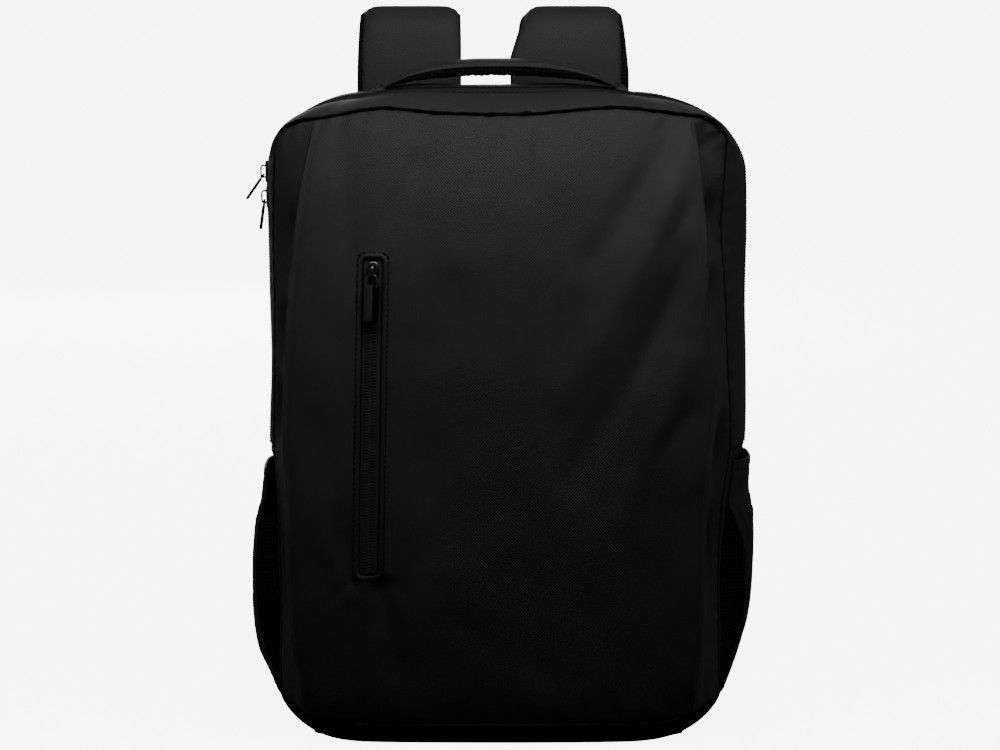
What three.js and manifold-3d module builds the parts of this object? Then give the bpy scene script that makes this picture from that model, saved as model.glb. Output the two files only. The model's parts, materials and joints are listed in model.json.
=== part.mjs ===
// A laptop backpack, standing on its base with both shoulder straps folded over behind it.
// Millimetres, +Z up. The front faces -Y and +X is the right-hand side seen from the front.
// The origin is on the flat underside of the base, below the front edge of the main zip.
import * as THREE from "three";
import { mergeVertices } from "three/addons/utils/BufferGeometryUtils.js";
import Module from "manifold-3d";

const wasm = await Module();
wasm.setup();

// Bag body
const bodyHeight = 428; // underside of the base to the top of the zip gusset
const bodyWidth = 314; // across the gusset at half height
const frontDepth = 82; // main zip to the fullest point of the front face
const rearDepth = 50; // main zip to the back seam
const frontSeamSetback = 28; // front seam to the main zip, along the sides
const topSeamSetback = 36; // front seam to the main zip, across the top
const baseRise = 14; // turned-up edge of the base
const baseRounding = 17; // flat of the base to its outline, at the sides
const baseRoundingFore = 8; // the same at the front
const baseRoundingBack = 3; // the same at the back
const shoulderDrop = 4.5; // fall of the top towards its corners
const sideSeamHeight = 190; // where the gusset meets the side panels
const clothThickness = 2;
const frontThickness = 2.3; // cloth and lining of the front panel
const seamGap = 0.36; // between two pieces that are sewn or pressed together

// Main zip
const mainZipWidth = 16; // tape that shows between the two gussets
const chainWidth = 5;
const chainThickness = 1.6;
const tapeThickness = 1.2;
const mainTapeRecess = 1.5; // the tape lies this far below the cloth

// Front pocket zip
const pocketZipDrop = 102.5; // top of the bag to the top of the zip's slot
const pocketZipLength = 210;
const pocketZipTopX = -82.4;
const pocketZipBottomX = -86.3;
const pocketSlotWidth = 12.6;
const pocketTapeOverlap = 4; // tape hidden behind the cloth on each side of the slot

// Back panel, handle and straps
const backThickness = 7;
const handleSpan = 153;
const handleRise = 17.6; // top panel to the top of the grip
const handleWidth = 27;
const handleThickness = 10;
const handleSetback = 30; // handle's middle line behind the main zip
const handleAnchorLength = 8;
const handleAnchorThickness = 2.6;
const strapWidth = 69.5;
const strapPadMargin = 2.2; // the pad shows on both sides of the cover
const strapSpacing = 108; // between the middles of the two straps
const strapShift = -6.5; // the pair leans to the left
const strapRise = 50; // top of the bag to the top of the folded straps
const strapCoverThickness = 2.5;
const strapPadThickness = 6.5;
const webbingWidth = 25;
const webbingThickness = 1.6;
const adjusterWidth = 36;
const adjusterHeight = 24;
const adjusterThickness = 4.5;
const anchorSpread = 122; // middle of the bag to a lower strap anchor
const anchorHeight = 34;
const anchorSize = 38;
const anchorThickness = 3;

// Side pockets
const pocketLeftDrop = 13; // top of the side panel to the rim of the pocket
const pocketRightDrop = 7;
const pocketBandWidth = 30;
const pocketClothThickness = 1.5;
const pocketWallSink = 6; // the side panel is pressed in behind the pocket

// Sliders and pulls
const sliderLength = 14;
const sliderWidth = 8.6;
const sliderThickness = 3;
const bridgeWidth = 2.4;
const bridgeWire = 1.2;
const bridgeReach = 9; // length of the bridge along the zip
const bridgeRise = 3.6;
const wireRadius = 0.65;
const pullRingHeight = 7.4;
const pullRingTopWidth = 4.6;
const pullRingBottomWidth = 8;
const pullTabWidth = 11;
const pullTabLength = 24.5;
const pullTabThickness = 4.6;
const sidePullLength = 20;
const sidePullWidth = 6.5;
const sidePullThickness = 1.4;
const sliderDrop = 54; // top of the bag to the upper slider
const sliderSpacing = 17;
const upperPullAngle = 35; // degrees out from straight down
const lowerPullAngle = 8;
const pocketPullAngle = 4;
const pocketSliderDrop = 10; // top of the slot to the slider

const halfWidth = bodyWidth / 2;
const pocketZipTop = bodyHeight - pocketZipDrop;
const pocketZipBottom = pocketZipTop - pocketZipLength;
const pocketSliderHeight = pocketZipTop - pocketSliderDrop;
const pocketLeftHeight = sideSeamHeight - pocketLeftDrop;
const pocketRightHeight = sideSeamHeight - pocketRightDrop;
const upperSliderHeight = bodyHeight - sliderDrop;
const lowerSliderHeight = upperSliderHeight - sliderSpacing;
const halfGap = seamGap / 2;

// Depth stations of the body, front seam to back seam. at: place along the body, 0 front seam, 1 and 2 the edges of
// the main zip, 3 back seam. top and cornerRise are shares of bodyHeight, the corners' widths shares of halfWidth.
const stations = [
  { at: 0, top: 0.973, cornerLeft: 0.178, cornerRight: 0.153, cornerRise: 0.045 },
  { at: 0.5, top: 0.992, cornerLeft: 0.3, cornerRight: 0.32, cornerRise: 0.095 },
  { at: 1, top: 1, cornerLeft: 0.42, cornerRight: 0.465, cornerRise: 0.132 },
  { at: 2, top: 1.002, cornerLeft: 0.43, cornerRight: 0.465, cornerRise: 0.132 },
  { at: 2.6, top: 1, cornerLeft: 0.42, cornerRight: 0.45, cornerRise: 0.128 },
  { at: 3, top: 0.988, cornerLeft: 0.39, cornerRight: 0.41, cornerRise: 0.12 },
];

// Half widths up the sides, as shares of halfWidth, at shares of bodyHeight.
const sideProfile = [
  { height: 0.0, seamLeft: 0.935, seamRight: 0.935, zipLeft: 0.949, zipRight: 0.955, backLeft: 0.93, backRight: 0.935 },
  { height: 0.09, seamLeft: 0.938, seamRight: 0.94, zipLeft: 0.958, zipRight: 0.965, backLeft: 0.94, backRight: 0.945 },
  { height: 0.2, seamLeft: 0.934, seamRight: 0.932, zipLeft: 0.962, zipRight: 0.98, backLeft: 0.945, backRight: 0.955 },
  { height: 0.35, seamLeft: 0.94, seamRight: 0.94, zipLeft: 0.972, zipRight: 1.015, backLeft: 0.95, backRight: 0.975 },
  { height: 0.455, seamLeft: 0.956, seamRight: 0.976, zipLeft: 0.981, zipRight: 1.045, backLeft: 0.955, backRight: 0.99 },
  { height: 0.57, seamLeft: 0.952, seamRight: 0.963, zipLeft: 0.97, zipRight: 1.045, backLeft: 0.95, backRight: 0.99 },
  { height: 0.68, seamLeft: 0.95, seamRight: 0.95, zipLeft: 0.975, zipRight: 1.038, backLeft: 0.95, backRight: 0.985 },
  { height: 0.79, seamLeft: 0.953, seamRight: 0.928, zipLeft: 0.979, zipRight: 1.042, backLeft: 0.95, backRight: 0.985 },
  { height: 0.87, seamLeft: 0.948, seamRight: 0.94, zipLeft: 0.985, zipRight: 1.038, backLeft: 0.95, backRight: 0.98 },
  { height: 0.93, seamLeft: 0.936, seamRight: 0.95, zipLeft: 0.983, zipRight: 1.03, backLeft: 0.945, backRight: 0.975 },
];

// The front seam's wave across the top. across: 0 left to 1 right. rise is a share of bodyHeight.
const topSeamWave = [
  { across: 0, rise: -0.008 },
  { across: 0.17, rise: 0.008 },
  { across: 0.32, rise: 0.001 },
  { across: 0.56, rise: -0.001 },
  { across: 0.8, rise: 0.009 },
  { across: 1, rise: -0.003 },
];

// The two creases of the front face. height is a share of bodyHeight, left and right are shares of halfWidth,
// reach (main zip to crease) and crown (fullness between the creases) are shares of frontDepth.
const frontProfile = [
  { height: 0.02, left: 0.812, right: 0.808, reach: 0.76, crown: 0.075 },
  { height: 0.075, left: 0.834, right: 0.822, reach: 0.815, crown: 0.085 },
  { height: 0.12, left: 0.856, right: 0.833, reach: 0.845, crown: 0.09 },
  { height: 0.19, left: 0.878, right: 0.845, reach: 0.875, crown: 0.1 },
  { height: 0.29, left: 0.889, right: 0.855, reach: 0.895, crown: 0.105 },
  { height: 0.38, left: 0.892, right: 0.861, reach: 0.893, crown: 0.107 },
  { height: 0.45, left: 0.897, right: 0.878, reach: 0.885, crown: 0.105 },
  { height: 0.54, left: 0.895, right: 0.908, reach: 0.868, crown: 0.102 },
  { height: 0.58, left: 0.892, right: 0.896, reach: 0.858, crown: 0.1 },
  { height: 0.65, left: 0.884, right: 0.862, reach: 0.835, crown: 0.095 },
  { height: 0.72, left: 0.868, right: 0.857, reach: 0.805, crown: 0.088 },
  { height: 0.78, left: 0.855, right: 0.855, reach: 0.765, crown: 0.08 },
  { height: 0.85, left: 0.832, right: 0.843, reach: 0.7, crown: 0.066 },
  { height: 0.91, left: 0.803, right: 0.826, reach: 0.615, crown: 0.045 },
  { height: 0.95, left: 0.782, right: 0.816, reach: 0.52, crown: 0.025 },
  { height: 0.98, left: 0.768, right: 0.81, reach: 0.44, crown: 0 },
];

// Soft folds of the front face, each a straight hollow or ridge. Places are shares of halfWidth across and of
// bodyHeight up, depth (in is positive) and spread are shares of frontDepth.
const faceFolds = [
  { fromX: -0.26, fromZ: 0.97, toX: -0.36, toZ: 0.8, depth: 0.02, spread: 0.1 },
  { fromX: -0.03, fromZ: 0.975, toX: -0.1, toZ: 0.84, depth: 0.03, spread: 0.1 },
  { fromX: 0.12, fromZ: 0.975, toX: 0.1, toZ: 0.83, depth: 0.028, spread: 0.09 },
  { fromX: 0.79, fromZ: 0.93, toX: 0.38, toZ: 0.74, depth: 0.034, spread: 0.14 },
  { fromX: 0.74, fromZ: 0.82, toX: 0.26, toZ: 0.55, depth: -0.022, spread: 0.15 },
  { fromX: 0.8, fromZ: 0.74, toX: 0.3, toZ: 0.42, depth: 0.035, spread: 0.15 },
  { fromX: 0.78, fromZ: 0.6, toX: 0.5, toZ: 0.36, depth: -0.02, spread: 0.13 },
  { fromX: -0.78, fromZ: 0.5, toX: -0.62, toZ: 0.28, depth: 0.018, spread: 0.12 },
  { fromX: -0.62, fromZ: 0.24, toX: -0.8, toZ: 0.36, depth: -0.016, spread: 0.1 },
  { fromX: -0.5, fromZ: 0.25, toX: -0.42, toZ: 0.12, depth: 0.02, spread: 0.1 },
  { fromX: -0.2, fromZ: 0.7, toX: -0.3, toZ: 0.3, depth: 0.016, spread: 0.17 },
];

// Hollows in the cloth between a crease and the front seam. side: -1 left, 1 right. height and tall are shares of
// bodyHeight, across runs from the seam (0) to the crease (1), depth is a share of frontSeamSetback.
const returnDents = [
  { side: -1, height: 0.78, tall: 0.045, across: 0.7, depth: 0.13 },
  { side: -1, height: 0.64, tall: 0.035, across: 0.75, depth: 0.2 },
  { side: -1, height: 0.52, tall: 0.04, across: 0.5, depth: 0.1 },
  { side: 1, height: 0.92, tall: 0.03, across: 0.6, depth: 0.12 },
  { side: 1, height: 0.8, tall: 0.04, across: 0.6, depth: 0.2 },
  { side: 1, height: 0.7, tall: 0.035, across: 0.75, depth: 0.16 },
  { side: 1, height: 0.46, tall: 0.05, across: 0.55, depth: 0.14 },
  { side: 1, height: 0.3, tall: 0.06, across: 0.5, depth: 0.12 },
  { side: -1, height: 0.26, tall: 0.05, across: 0.5, depth: 0.12 },
];

// Side pockets, bottom to top. height is a share of the pocket's height. full and edge are how far the fullest line
// and the front edge of the pocket's cloth stand out from the bag, as shares of pocketFullness.
const pocketFullness = 16;
const pocketProfile = [
  { height: 0, edge: 0.17, full: 0.19, fullLeft: 0.19 },
  { height: 0.07, edge: 0.3, full: 0.45, fullLeft: 0.55 },
  { height: 0.17, edge: 0.5, full: 0.66, fullLeft: 0.86 },
  { height: 0.3, edge: 0.82, full: 0.86, fullLeft: 1.02 },
  { height: 0.45, edge: 0.95, full: 0.96, fullLeft: 1.04 },
  { height: 0.62, edge: 0.98, full: 0.84, fullLeft: 0.86 },
  { height: 0.78, edge: 0.75, full: 0.66, fullLeft: 0.62 },
  { height: 0.88, edge: 0.42, full: 0.42, fullLeft: 0.47 },
  { height: 1, edge: 0.3, full: 0.34, fullLeft: 0.3 },
];

// Shoulder strap, from its seam on the back panel over the fold to its lower end. back is the distance behind the
// back panel as a share of strapFold, rise and drop are shares of strapRise above and of strapLength below the bag's
// top, out the sideways drift as a share of strapSpacing, wide the width as a share of strapWidth. steps: how finely
// the span up to the next row is divided.
const strapFold = 42; // back panel to the far side of the fold
const strapLength = 300; // how far the strap hangs below the top of the bag
const strapPath = [
  { back: 0.09, rise: 0, drop: 0.11, out: 0, wide: 1, steps: 1 },
  { back: 0.1, rise: 0, drop: 0.05, out: 0, wide: 1, steps: 1 },
  { back: 0.14, rise: 0.1, drop: 0, out: 0, wide: 1, steps: 2 },
  { back: 0.23, rise: 0.52, drop: 0, out: 0, wide: 1, steps: 2 },
  { back: 0.38, rise: 0.85, drop: 0, out: 0, wide: 0.99, steps: 3 },
  { back: 0.64, rise: 1, drop: 0, out: 0, wide: 0.98, steps: 3 },
  { back: 0.89, rise: 0.84, drop: 0, out: 0, wide: 0.98, steps: 2 },
  { back: 0.99, rise: 0.42, drop: 0, out: 0.01, wide: 0.98, steps: 2 },
  { back: 1, rise: 0, drop: 0.04, out: 0.02, wide: 0.98, steps: 2 },
  { back: 0.88, rise: 0, drop: 0.24, out: 0.07, wide: 0.97, steps: 2 },
  { back: 0.7, rise: 0, drop: 0.46, out: 0.15, wide: 0.93, steps: 2 },
  { back: 0.59, rise: 0, drop: 0.68, out: 0.21, wide: 0.86, steps: 2 },
  { back: 0.55, rise: 0, drop: 0.86, out: 0.25, wide: 0.76, steps: 2 },
  { back: 0.54, rise: 0, drop: 0.97, out: 0.27, wide: 0.62, steps: 1 },
  { back: 0.54, rise: 0, drop: 1, out: 0.275, wide: 0.5, steps: 1 },
];

// Carrying handle, from its left end to its right end. along is a share of handleSpan, top a share of handleRise
// and thick a share of handleThickness.
const handleShape = [
  { along: -0.5, top: 0.17, thick: 0.24 },
  { along: -0.465, top: 0.3, thick: 0.36 },
  { along: -0.4, top: 0.56, thick: 0.62 },
  { along: -0.28, top: 0.83, thick: 0.9 },
  { along: -0.15, top: 0.97, thick: 1 },
  { along: 0, top: 1, thick: 1 },
  { along: 0.15, top: 0.97, thick: 1 },
  { along: 0.28, top: 0.83, thick: 0.9 },
  { along: 0.4, top: 0.56, thick: 0.62 },
  { along: 0.465, top: 0.3, thick: 0.36 },
  { along: 0.5, top: 0.17, thick: 0.24 },
];

const lerp = (a, b, t) => a + (b - a) * t;
const clamp = (x, low, high) => Math.min(high, Math.max(low, x));
const range = (count) => Array.from({ length: count + 1 }, (_, i) => i / count);
const vec = (x, y, z) => new THREE.Vector3(x, y, z);

// The smooth curve through one column of a table, at a place given in the key column.
function tableAt(rows, key, column, place) {
  const at = clamp(place, rows[0][key], rows[rows.length - 1][key]);
  let i = 0;
  while (i < rows.length - 2 && at > rows[i + 1][key]) i++;
  const slope = (j) => {
    const before = rows[Math.max(0, j - 1)];
    const after = rows[Math.min(rows.length - 1, j + 1)];
    return (after[column] - before[column]) / (after[key] - before[key]);
  };
  const span = rows[i + 1][key] - rows[i][key];
  const t = (at - rows[i][key]) / span;
  const rise = t * t * (3 - 2 * t);
  return (
    rows[i][column] * (1 - rise) +
    rows[i + 1][column] * rise +
    slope(i) * span * t * (1 - t) * (1 - t) -
    slope(i + 1) * span * t * t * (1 - t)
  );
}

const sideAt = (column, z) => halfWidth * tableAt(sideProfile, "height", column, z / bodyHeight);
const stationAt = (column, at) => tableAt(stations, "at", column, at);

// Half width of the body on one side (-1 left, 1 right) at a height and a depth station.
function halfWidthAt(side, z, at) {
  const name = side < 0 ? "Left" : "Right";
  const seam = sideAt("seam" + name, z);
  const zip = sideAt("zip" + name, z);
  const back = sideAt("back" + name, z);
  if (at <= 1) return lerp(seam, zip, Math.sin((clamp(at, 0, 1) * Math.PI) / 2));
  if (at <= 2) return zip;
  return lerp(zip, back, (at - 2) * (at - 2));
}

// Depth of a station. top is 1 across the top of the bag and 0 down its sides.
function depthAt(at, top) {
  const seam = -lerp(frontSeamSetback, topSeamSetback, top);
  if (at <= 1) return lerp(seam, 0, at);
  if (at <= 2) return mainZipWidth * (at - 1);
  return lerp(mainZipWidth, rearDepth, at - 2);
}

// A point of the body's outside behind the front seam. place runs round the bag: 0-1 lower left side, 1-2 upper left
// side, 2-3 left corner, 3-4 top, 4-5 right corner, 5-6 upper right side, 6-7 lower right side.
function bodyPoint(place, at) {
  if (place > 3.5) return bodySide(7 - place, at, 1);
  return bodySide(place, at, -1);
}

function bodySide(place, at, side) {
  const top = bodyHeight * stationAt("top", at);
  const cornerTop = top - bodyHeight * stationAt("cornerRise", at);
  const droop = shoulderDrop * clamp(at, 0, 1);
  if (place <= 1) {
    const z = lerp(baseRise, sideSeamHeight, place);
    return vec(side * halfWidthAt(side, z, at), depthAt(at, 0), z);
  }
  if (place <= 2) {
    const z = lerp(sideSeamHeight, cornerTop, place - 1);
    return vec(side * halfWidthAt(side, z, at), depthAt(at, 0), z);
  }
  const wall = halfWidthAt(side, cornerTop, at);
  const corner = halfWidth * stationAt(side < 0 ? "cornerLeft" : "cornerRight", at);
  const wave = (across) => bodyHeight * tableAt(topSeamWave, "across", "rise", across) * clamp(1 - at, 0, 1);
  if (place <= 3) {
    const turn = ((place - 2) * Math.PI) / 2;
    const rise = top + wave(side < 0 ? 0 : 1) - droop - cornerTop;
    return vec(
      side * (wall - corner * (1 - Math.cos(turn))),
      depthAt(at, place - 2),
      cornerTop + rise * Math.sin(turn),
    );
  }
  const leftEnd = halfWidthAt(-1, cornerTop, at) - halfWidth * stationAt("cornerLeft", at);
  const rightEnd = halfWidthAt(1, cornerTop, at) - halfWidth * stationAt("cornerRight", at);
  const across = side < 0 ? place - 3 : 4 - place;
  const fall = droop * Math.pow(Math.abs(2 * across - 1), 5);
  return vec(lerp(-leftEnd, rightEnd, across), depthAt(at, 1), top + wave(across) - fall);
}

// Places up the side panel between which it comes back out to its top edge.
const pocketRim = 0.955;
const pocketStep = 0.988;

// The side panel, which is pressed in behind its pocket.
function sidePanelPoint(place, at) {
  const point = bodyPoint(place, at);
  const up = clamp((point.z - baseRise) / (sideSeamHeight - baseRise), 0, 1);
  const edge = 0.12; // left flat along both seams, where the pocket is sewn on
  const across = Math.min(0.8 * Math.max(0, at - edge), 1.6 * Math.max(0, 3 - edge - at));
  const bump = Math.min(1, 6 * up, 30 * Math.max(0, pocketStep - up)) * Math.min(1, across);
  point.x -= Math.sign(point.x) * pocketWallSink * bump;
  return point;
}

// The direction in which a surface faces, from its two parameters.
function facing(surface, u, v) {
  const step = 0.01;
  const along = surface(u + step, v).sub(surface(u - step, v));
  const across = surface(u, v + step).sub(surface(u, v - step));
  return along.cross(across).normalize();
}

// How far a soft fold presses the front face in, at a place on it.
function foldDepth(x, z) {
  let depth = 0;
  for (const fold of faceFolds) {
    const from = new THREE.Vector2(fold.fromX * halfWidth, fold.fromZ * bodyHeight);
    const run = new THREE.Vector2(fold.toX * halfWidth, fold.toZ * bodyHeight).sub(from);
    const here = new THREE.Vector2(x, z).sub(from);
    const along = here.dot(run) / run.lengthSq();
    const beyond = Math.max(0, -along, along - 1) * run.length();
    const aside = Math.abs(here.cross(run)) / run.length();
    const spread = fold.spread * frontDepth;
    const fade = lerp(1, 0.35, clamp(along, 0, 1));
    depth += fold.depth * frontDepth * fade * Math.exp(-(aside * aside + beyond * beyond) / (spread * spread));
  }
  return depth;
}

// The front face between its two creases, at a place across and up it.
function faceDepth(x, z) {
  const share = z / bodyHeight;
  const left = -halfWidth * tableAt(frontProfile, "height", "left", share);
  const right = halfWidth * tableAt(frontProfile, "height", "right", share);
  const middle = clamp((2 * x - left - right) / (right - left), -1, 1);
  const full = Math.pow(1 - middle * middle, 0.8);
  const reach = tableAt(frontProfile, "height", "reach", share);
  const crown = tableAt(frontProfile, "height", "crown", share);
  return -frontDepth * (reach + crown * full) + foldDepth(x, z) * Math.min(1, 2.2 * full);
}

const seamTop = () => bodyHeight * (stationAt("top", 0) - stationAt("cornerRise", 0));

// The front panel's outside. across: -2 to -1 from the left seam to the left crease, -1 to 1 the face, 1 to 2 from
// the right crease to the right seam. up: 0 base to 1 top seam, with the side seam's height at rowShare.
function frontPoint(across, up) {
  if (Math.abs(across) >= 1) return returnPoint(across < 0 ? -1 : 1, 2 - Math.abs(across), up);
  const share = (across + 1) / 2;
  const seam = bodyPoint(3 + share, 0);
  const z = lerp(baseRise, seam.z, up);
  const left = -halfWidth * tableAt(frontProfile, "height", "left", z / bodyHeight);
  const right = halfWidth * tableAt(frontProfile, "height", "right", z / bodyHeight);
  const x = lerp(left, right, share);
  const face = vec(x, faceDepth(x, z), z);
  const settle = Math.pow(up, 10);
  return face.lerp(seam, settle);
}

// The cloth between a crease (turn 1) and the front seam (turn 0).
function returnPoint(side, turn, up) {
  const crease = frontCrease(side, up);
  const seam = seamPoint(side, up);
  const point = seam.clone().lerp(crease, turn);
  const corner = bodyPoint(side < 0 ? 2 + turn : 5 - turn, 0);
  const straight = seamPoint(side, 1).lerp(frontCrease(side, 1), turn);
  point.add(corner.sub(straight).multiplyScalar(Math.pow(up, 5)));
  for (const dent of returnDents) {
    if (dent.side !== side) continue;
    const tall = (point.z / bodyHeight - dent.height) / dent.tall;
    const wide = (turn - dent.across) / 0.45;
    const ends = Math.min(1, 6 * turn * (1 - turn));
    const press = dent.depth * frontSeamSetback * ends * Math.exp(-tall * tall - wide * wide);
    point.x -= side * press;
  }
  return point;
}

function seamPoint(side, up) {
  const z = lerp(baseRise, seamTop(), up);
  return vec(side * halfWidthAt(side, z, 0), -frontSeamSetback, z);
}

function frontCrease(side, up) {
  const seam = bodyPoint(side < 0 ? 3 : 4, 0);
  const z = lerp(baseRise, seam.z, up);
  const x = side * halfWidth * tableAt(frontProfile, "height", side < 0 ? "left" : "right", z / bodyHeight);
  return vec(x, faceDepth(x, z), z).lerp(seam, Math.pow(up, 10));
}

// A closed solid of cloth: a grid of points on the outside and the same grid pressed in along the facing direction.
// outer and inner are depths below the surface. Each edge is drawn back by half the gap to its neighbour.
function clothSolid(surface, us, vs, { outer = 0, inner = clothThickness, inward = null } = {}) {
  const columns = us.length;
  const rows = vs.length;
  const place = (i, j) => j * columns + i;
  const outside = [];
  const inside = [];
  for (let j = 0; j < rows; j++)
    for (let i = 0; i < columns; i++) {
      const point = surface(us[i], vs[j]);
      const away = inward ? inward(us[i], vs[j]) : null;
      const down = away || facing(surface, us[i], vs[j]).negate();
      outside.push(point.clone().addScaledVector(down, outer));
      inside.push(point.clone().addScaledVector(down, inner));
    }
  const drawBack = (grid) => {
    const shifts = grid.map(() => vec(0, 0, 0));
    const pull = (here, next) => {
      const way = grid[next].clone().sub(grid[here]).normalize();
      shifts[here].addScaledVector(way, halfGap);
    };
    for (let i = 0; i < columns; i++) {
      pull(place(i, 0), place(i, 1));
      pull(place(i, rows - 1), place(i, rows - 2));
    }
    for (let j = 0; j < rows; j++) {
      pull(place(0, j), place(1, j));
      pull(place(columns - 1, j), place(columns - 2, j));
    }
    grid.forEach((point, n) => point.add(shifts[n]));
  };
  drawBack(outside);
  drawBack(inside);
  const points = [...outside, ...inside];
  const under = columns * rows;
  const faces = [];
  const quad = (a, b, c, d) => faces.push(a, b, c, a, c, d);
  for (let j = 0; j + 1 < rows; j++)
    for (let i = 0; i + 1 < columns; i++) {
      const [a, b, c, d] = [place(i, j), place(i + 1, j), place(i + 1, j + 1), place(i, j + 1)];
      quad(a, b, c, d);
      quad(under + a, under + d, under + c, under + b);
    }
  const rim = [];
  for (let i = 0; i + 1 < columns; i++) rim.push(place(i, 0));
  for (let j = 0; j + 1 < rows; j++) rim.push(place(columns - 1, j));
  for (let i = columns - 1; i > 0; i--) rim.push(place(i, rows - 1));
  for (let j = rows - 1; j > 0; j--) rim.push(place(0, j));
  rim.forEach((a, n) => {
    const b = rim[(n + 1) % rim.length];
    quad(a, under + a, under + b, b);
  });
  return closedGeometry(points, faces);
}

// A closed solid through rings of the same number of points, capped with a fan at both ends.
function ringSolid(rings) {
  const count = rings[0].length;
  const points = rings.flat();
  const faces = [];
  for (let r = 0; r + 1 < rings.length; r++)
    for (let i = 0; i < count; i++) {
      const [a, b] = [r * count + i, r * count + ((i + 1) % count)];
      faces.push(a, b, b + count, a, b + count, a + count);
    }
  const centre = (ring) => ring.reduce((sum, p) => sum.add(p), vec(0, 0, 0)).divideScalar(ring.length);
  const [first, last] = [points.length, points.length + 1];
  points.push(centre(rings[0]), centre(rings[rings.length - 1]));
  const end = (rings.length - 1) * count;
  for (let i = 0; i < count; i++) {
    const next = (i + 1) % count;
    faces.push(first, next, i, last, end + i, end + next);
  }
  return closedGeometry(points, faces);
}

function closedGeometry(points, faces) {
  const geometry = new THREE.BufferGeometry();
  geometry.setAttribute("position", new THREE.Float32BufferAttribute(points.flatMap((p) => p.toArray()), 3));
  geometry.setIndex(faces);
  if (signedVolume(points, faces) < 0) {
    for (let i = 0; i < faces.length; i += 3) [faces[i + 1], faces[i + 2]] = [faces[i + 2], faces[i + 1]];
    geometry.setIndex(faces);
  }
  return geometry;
}

function signedVolume(points, faces) {
  let volume = 0;
  for (let i = 0; i < faces.length; i += 3)
    volume += points[faces[i]].dot(points[faces[i + 1]].clone().cross(points[faces[i + 2]]));
  return volume / 6;
}

// The strip swept by a cross-section along a path. Each station has an origin, a side and an up direction and its
// section's points as pairs along side and up.
function sweptSolid(path) {
  return ringSolid(
    path.map(({ origin, side, up, section }) =>
      section.map(([a, b]) => origin.clone().addScaledVector(side, a).addScaledVector(up, b)),
    ),
  );
}

function solidOf(geometry) {
  const bare = geometry.clone();
  bare.deleteAttribute("normal");
  bare.deleteAttribute("uv");
  const merged = mergeVertices(bare, 1e-3);
  const mesh = new wasm.Mesh({
    numProp: 3,
    vertProperties: merged.attributes.position.array,
    triVerts: new Uint32Array(merged.index.array),
  });
  return new wasm.Manifold(mesh);
}

function geometryOf(solid) {
  const mesh = solid.getMesh();
  const geometry = new THREE.BufferGeometry();
  geometry.setAttribute("position", new THREE.BufferAttribute(new Float32Array(mesh.vertProperties), 3));
  geometry.setIndex(new THREE.BufferAttribute(new Uint32Array(mesh.triVerts), 1));
  return geometry;
}

const joined = (...geometries) => geometryOf(geometries.map(solidOf).reduce((sum, s) => sum.add(s)));
const cut = (geometry, ...cutters) => geometryOf(cutters.map(solidOf).reduce((rest, s) => rest.subtract(s), solidOf(geometry)));

// Materials, one for each kind of surface
const material = (color, roughness, metalness = 0) =>
  new THREE.MeshStandardMaterial({ color, roughness, metalness });
const bodyCloth = material(0x0b0b0c, 0.62);
const baseCloth = material(0x060607, 0.75);
const meshCloth = material(0x030303, 0.95);
const zipTape = material(0x08080a, 0.85);
const zipChain = material(0x101012, 0.45);
const gunmetal = material(0x2c2c30, 0.3, 0.9);
const pullRubber = material(0x0c0c0d, 0.42);
const webbing = material(0x08080a, 0.8);
const plastic = material(0x0a0a0b, 0.4);

const group = new THREE.Group();

function add(name, geometry, finish) {
  geometry.computeVertexNormals();
  const mesh = new THREE.Mesh(geometry, finish);
  mesh.name = name;
  group.add(mesh);
  return mesh;
}

// Samples shared by neighbouring pieces, so that their edges lie side by side.
const lowerRows = 9;
const upperRows = 8;
const cornerSteps = 5;
const creaseStep = 0.03;
const faceSteps = 14;
const lowerPlaces = range(lowerRows);
const upperPlaces = range(upperRows).map((t) => 1 + t);
const cornerPlaces = range(cornerSteps).map((t) => 2 + t);
const faceShares = [0, creaseStep, ...range(faceSteps).slice(1, -1), 1 - creaseStep, 1];
const topPlaces = faceShares.map((t) => 3 + t);
const mirrored = (places) => places.map((p) => 7 - p).reverse();
const unique = (values) => values.filter((value, i) => i === 0 || value - values[i - 1] > 1e-9);
const archPlaces = unique([
  ...upperPlaces,
  ...cornerPlaces,
  ...topPlaces,
  ...mirrored(cornerPlaces),
  ...mirrored(upperPlaces),
]);

// Rows of the front panel at the same heights as the side seam's samples.
const seamHeights = [...lowerPlaces, ...upperPlaces.slice(1)].map((place) => bodyPoint(place, 0).z);
const frontRows = seamHeights.map((z) => (z - baseRise) / (seamTop() - baseRise));

const frontColumns = unique([
  ...range(cornerSteps).map((t) => t - 2),
  ...faceShares.map((t) => 2 * t - 1),
  ...range(cornerSteps).map((t) => 1 + t),
]);

// The direction into the bag that both cloths share along the front seam.
function seamInward(place) {
  const behind = facing(bodyPoint, place, 0.01).negate();
  const right = place > 3.5;
  const turn = clamp(right ? 5 - place : place - 2, 0, 1);
  let ahead;
  if (place >= 3 && place <= 4) ahead = vec(0, 1, 0);
  else {
    const up = place < 2 || place > 5 ? (bodyPoint(place, 0).z - baseRise) / (seamTop() - baseRise) : 1;
    const side = right ? 1 : -1;
    const out = seamPoint(side, up).sub(frontCrease(side, up)).setZ(0).normalize();
    ahead = vec(out.y * -side, out.x * side, 0);
    if (ahead.x * side > 0) ahead.negate();
    ahead.lerp(vec(0, 1, 0), turn).normalize();
  }
  const between = behind.add(ahead);
  const cosine = between.length() / 2;
  return between.normalize().divideScalar(Math.max(cosine, 0.7));
}

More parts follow.
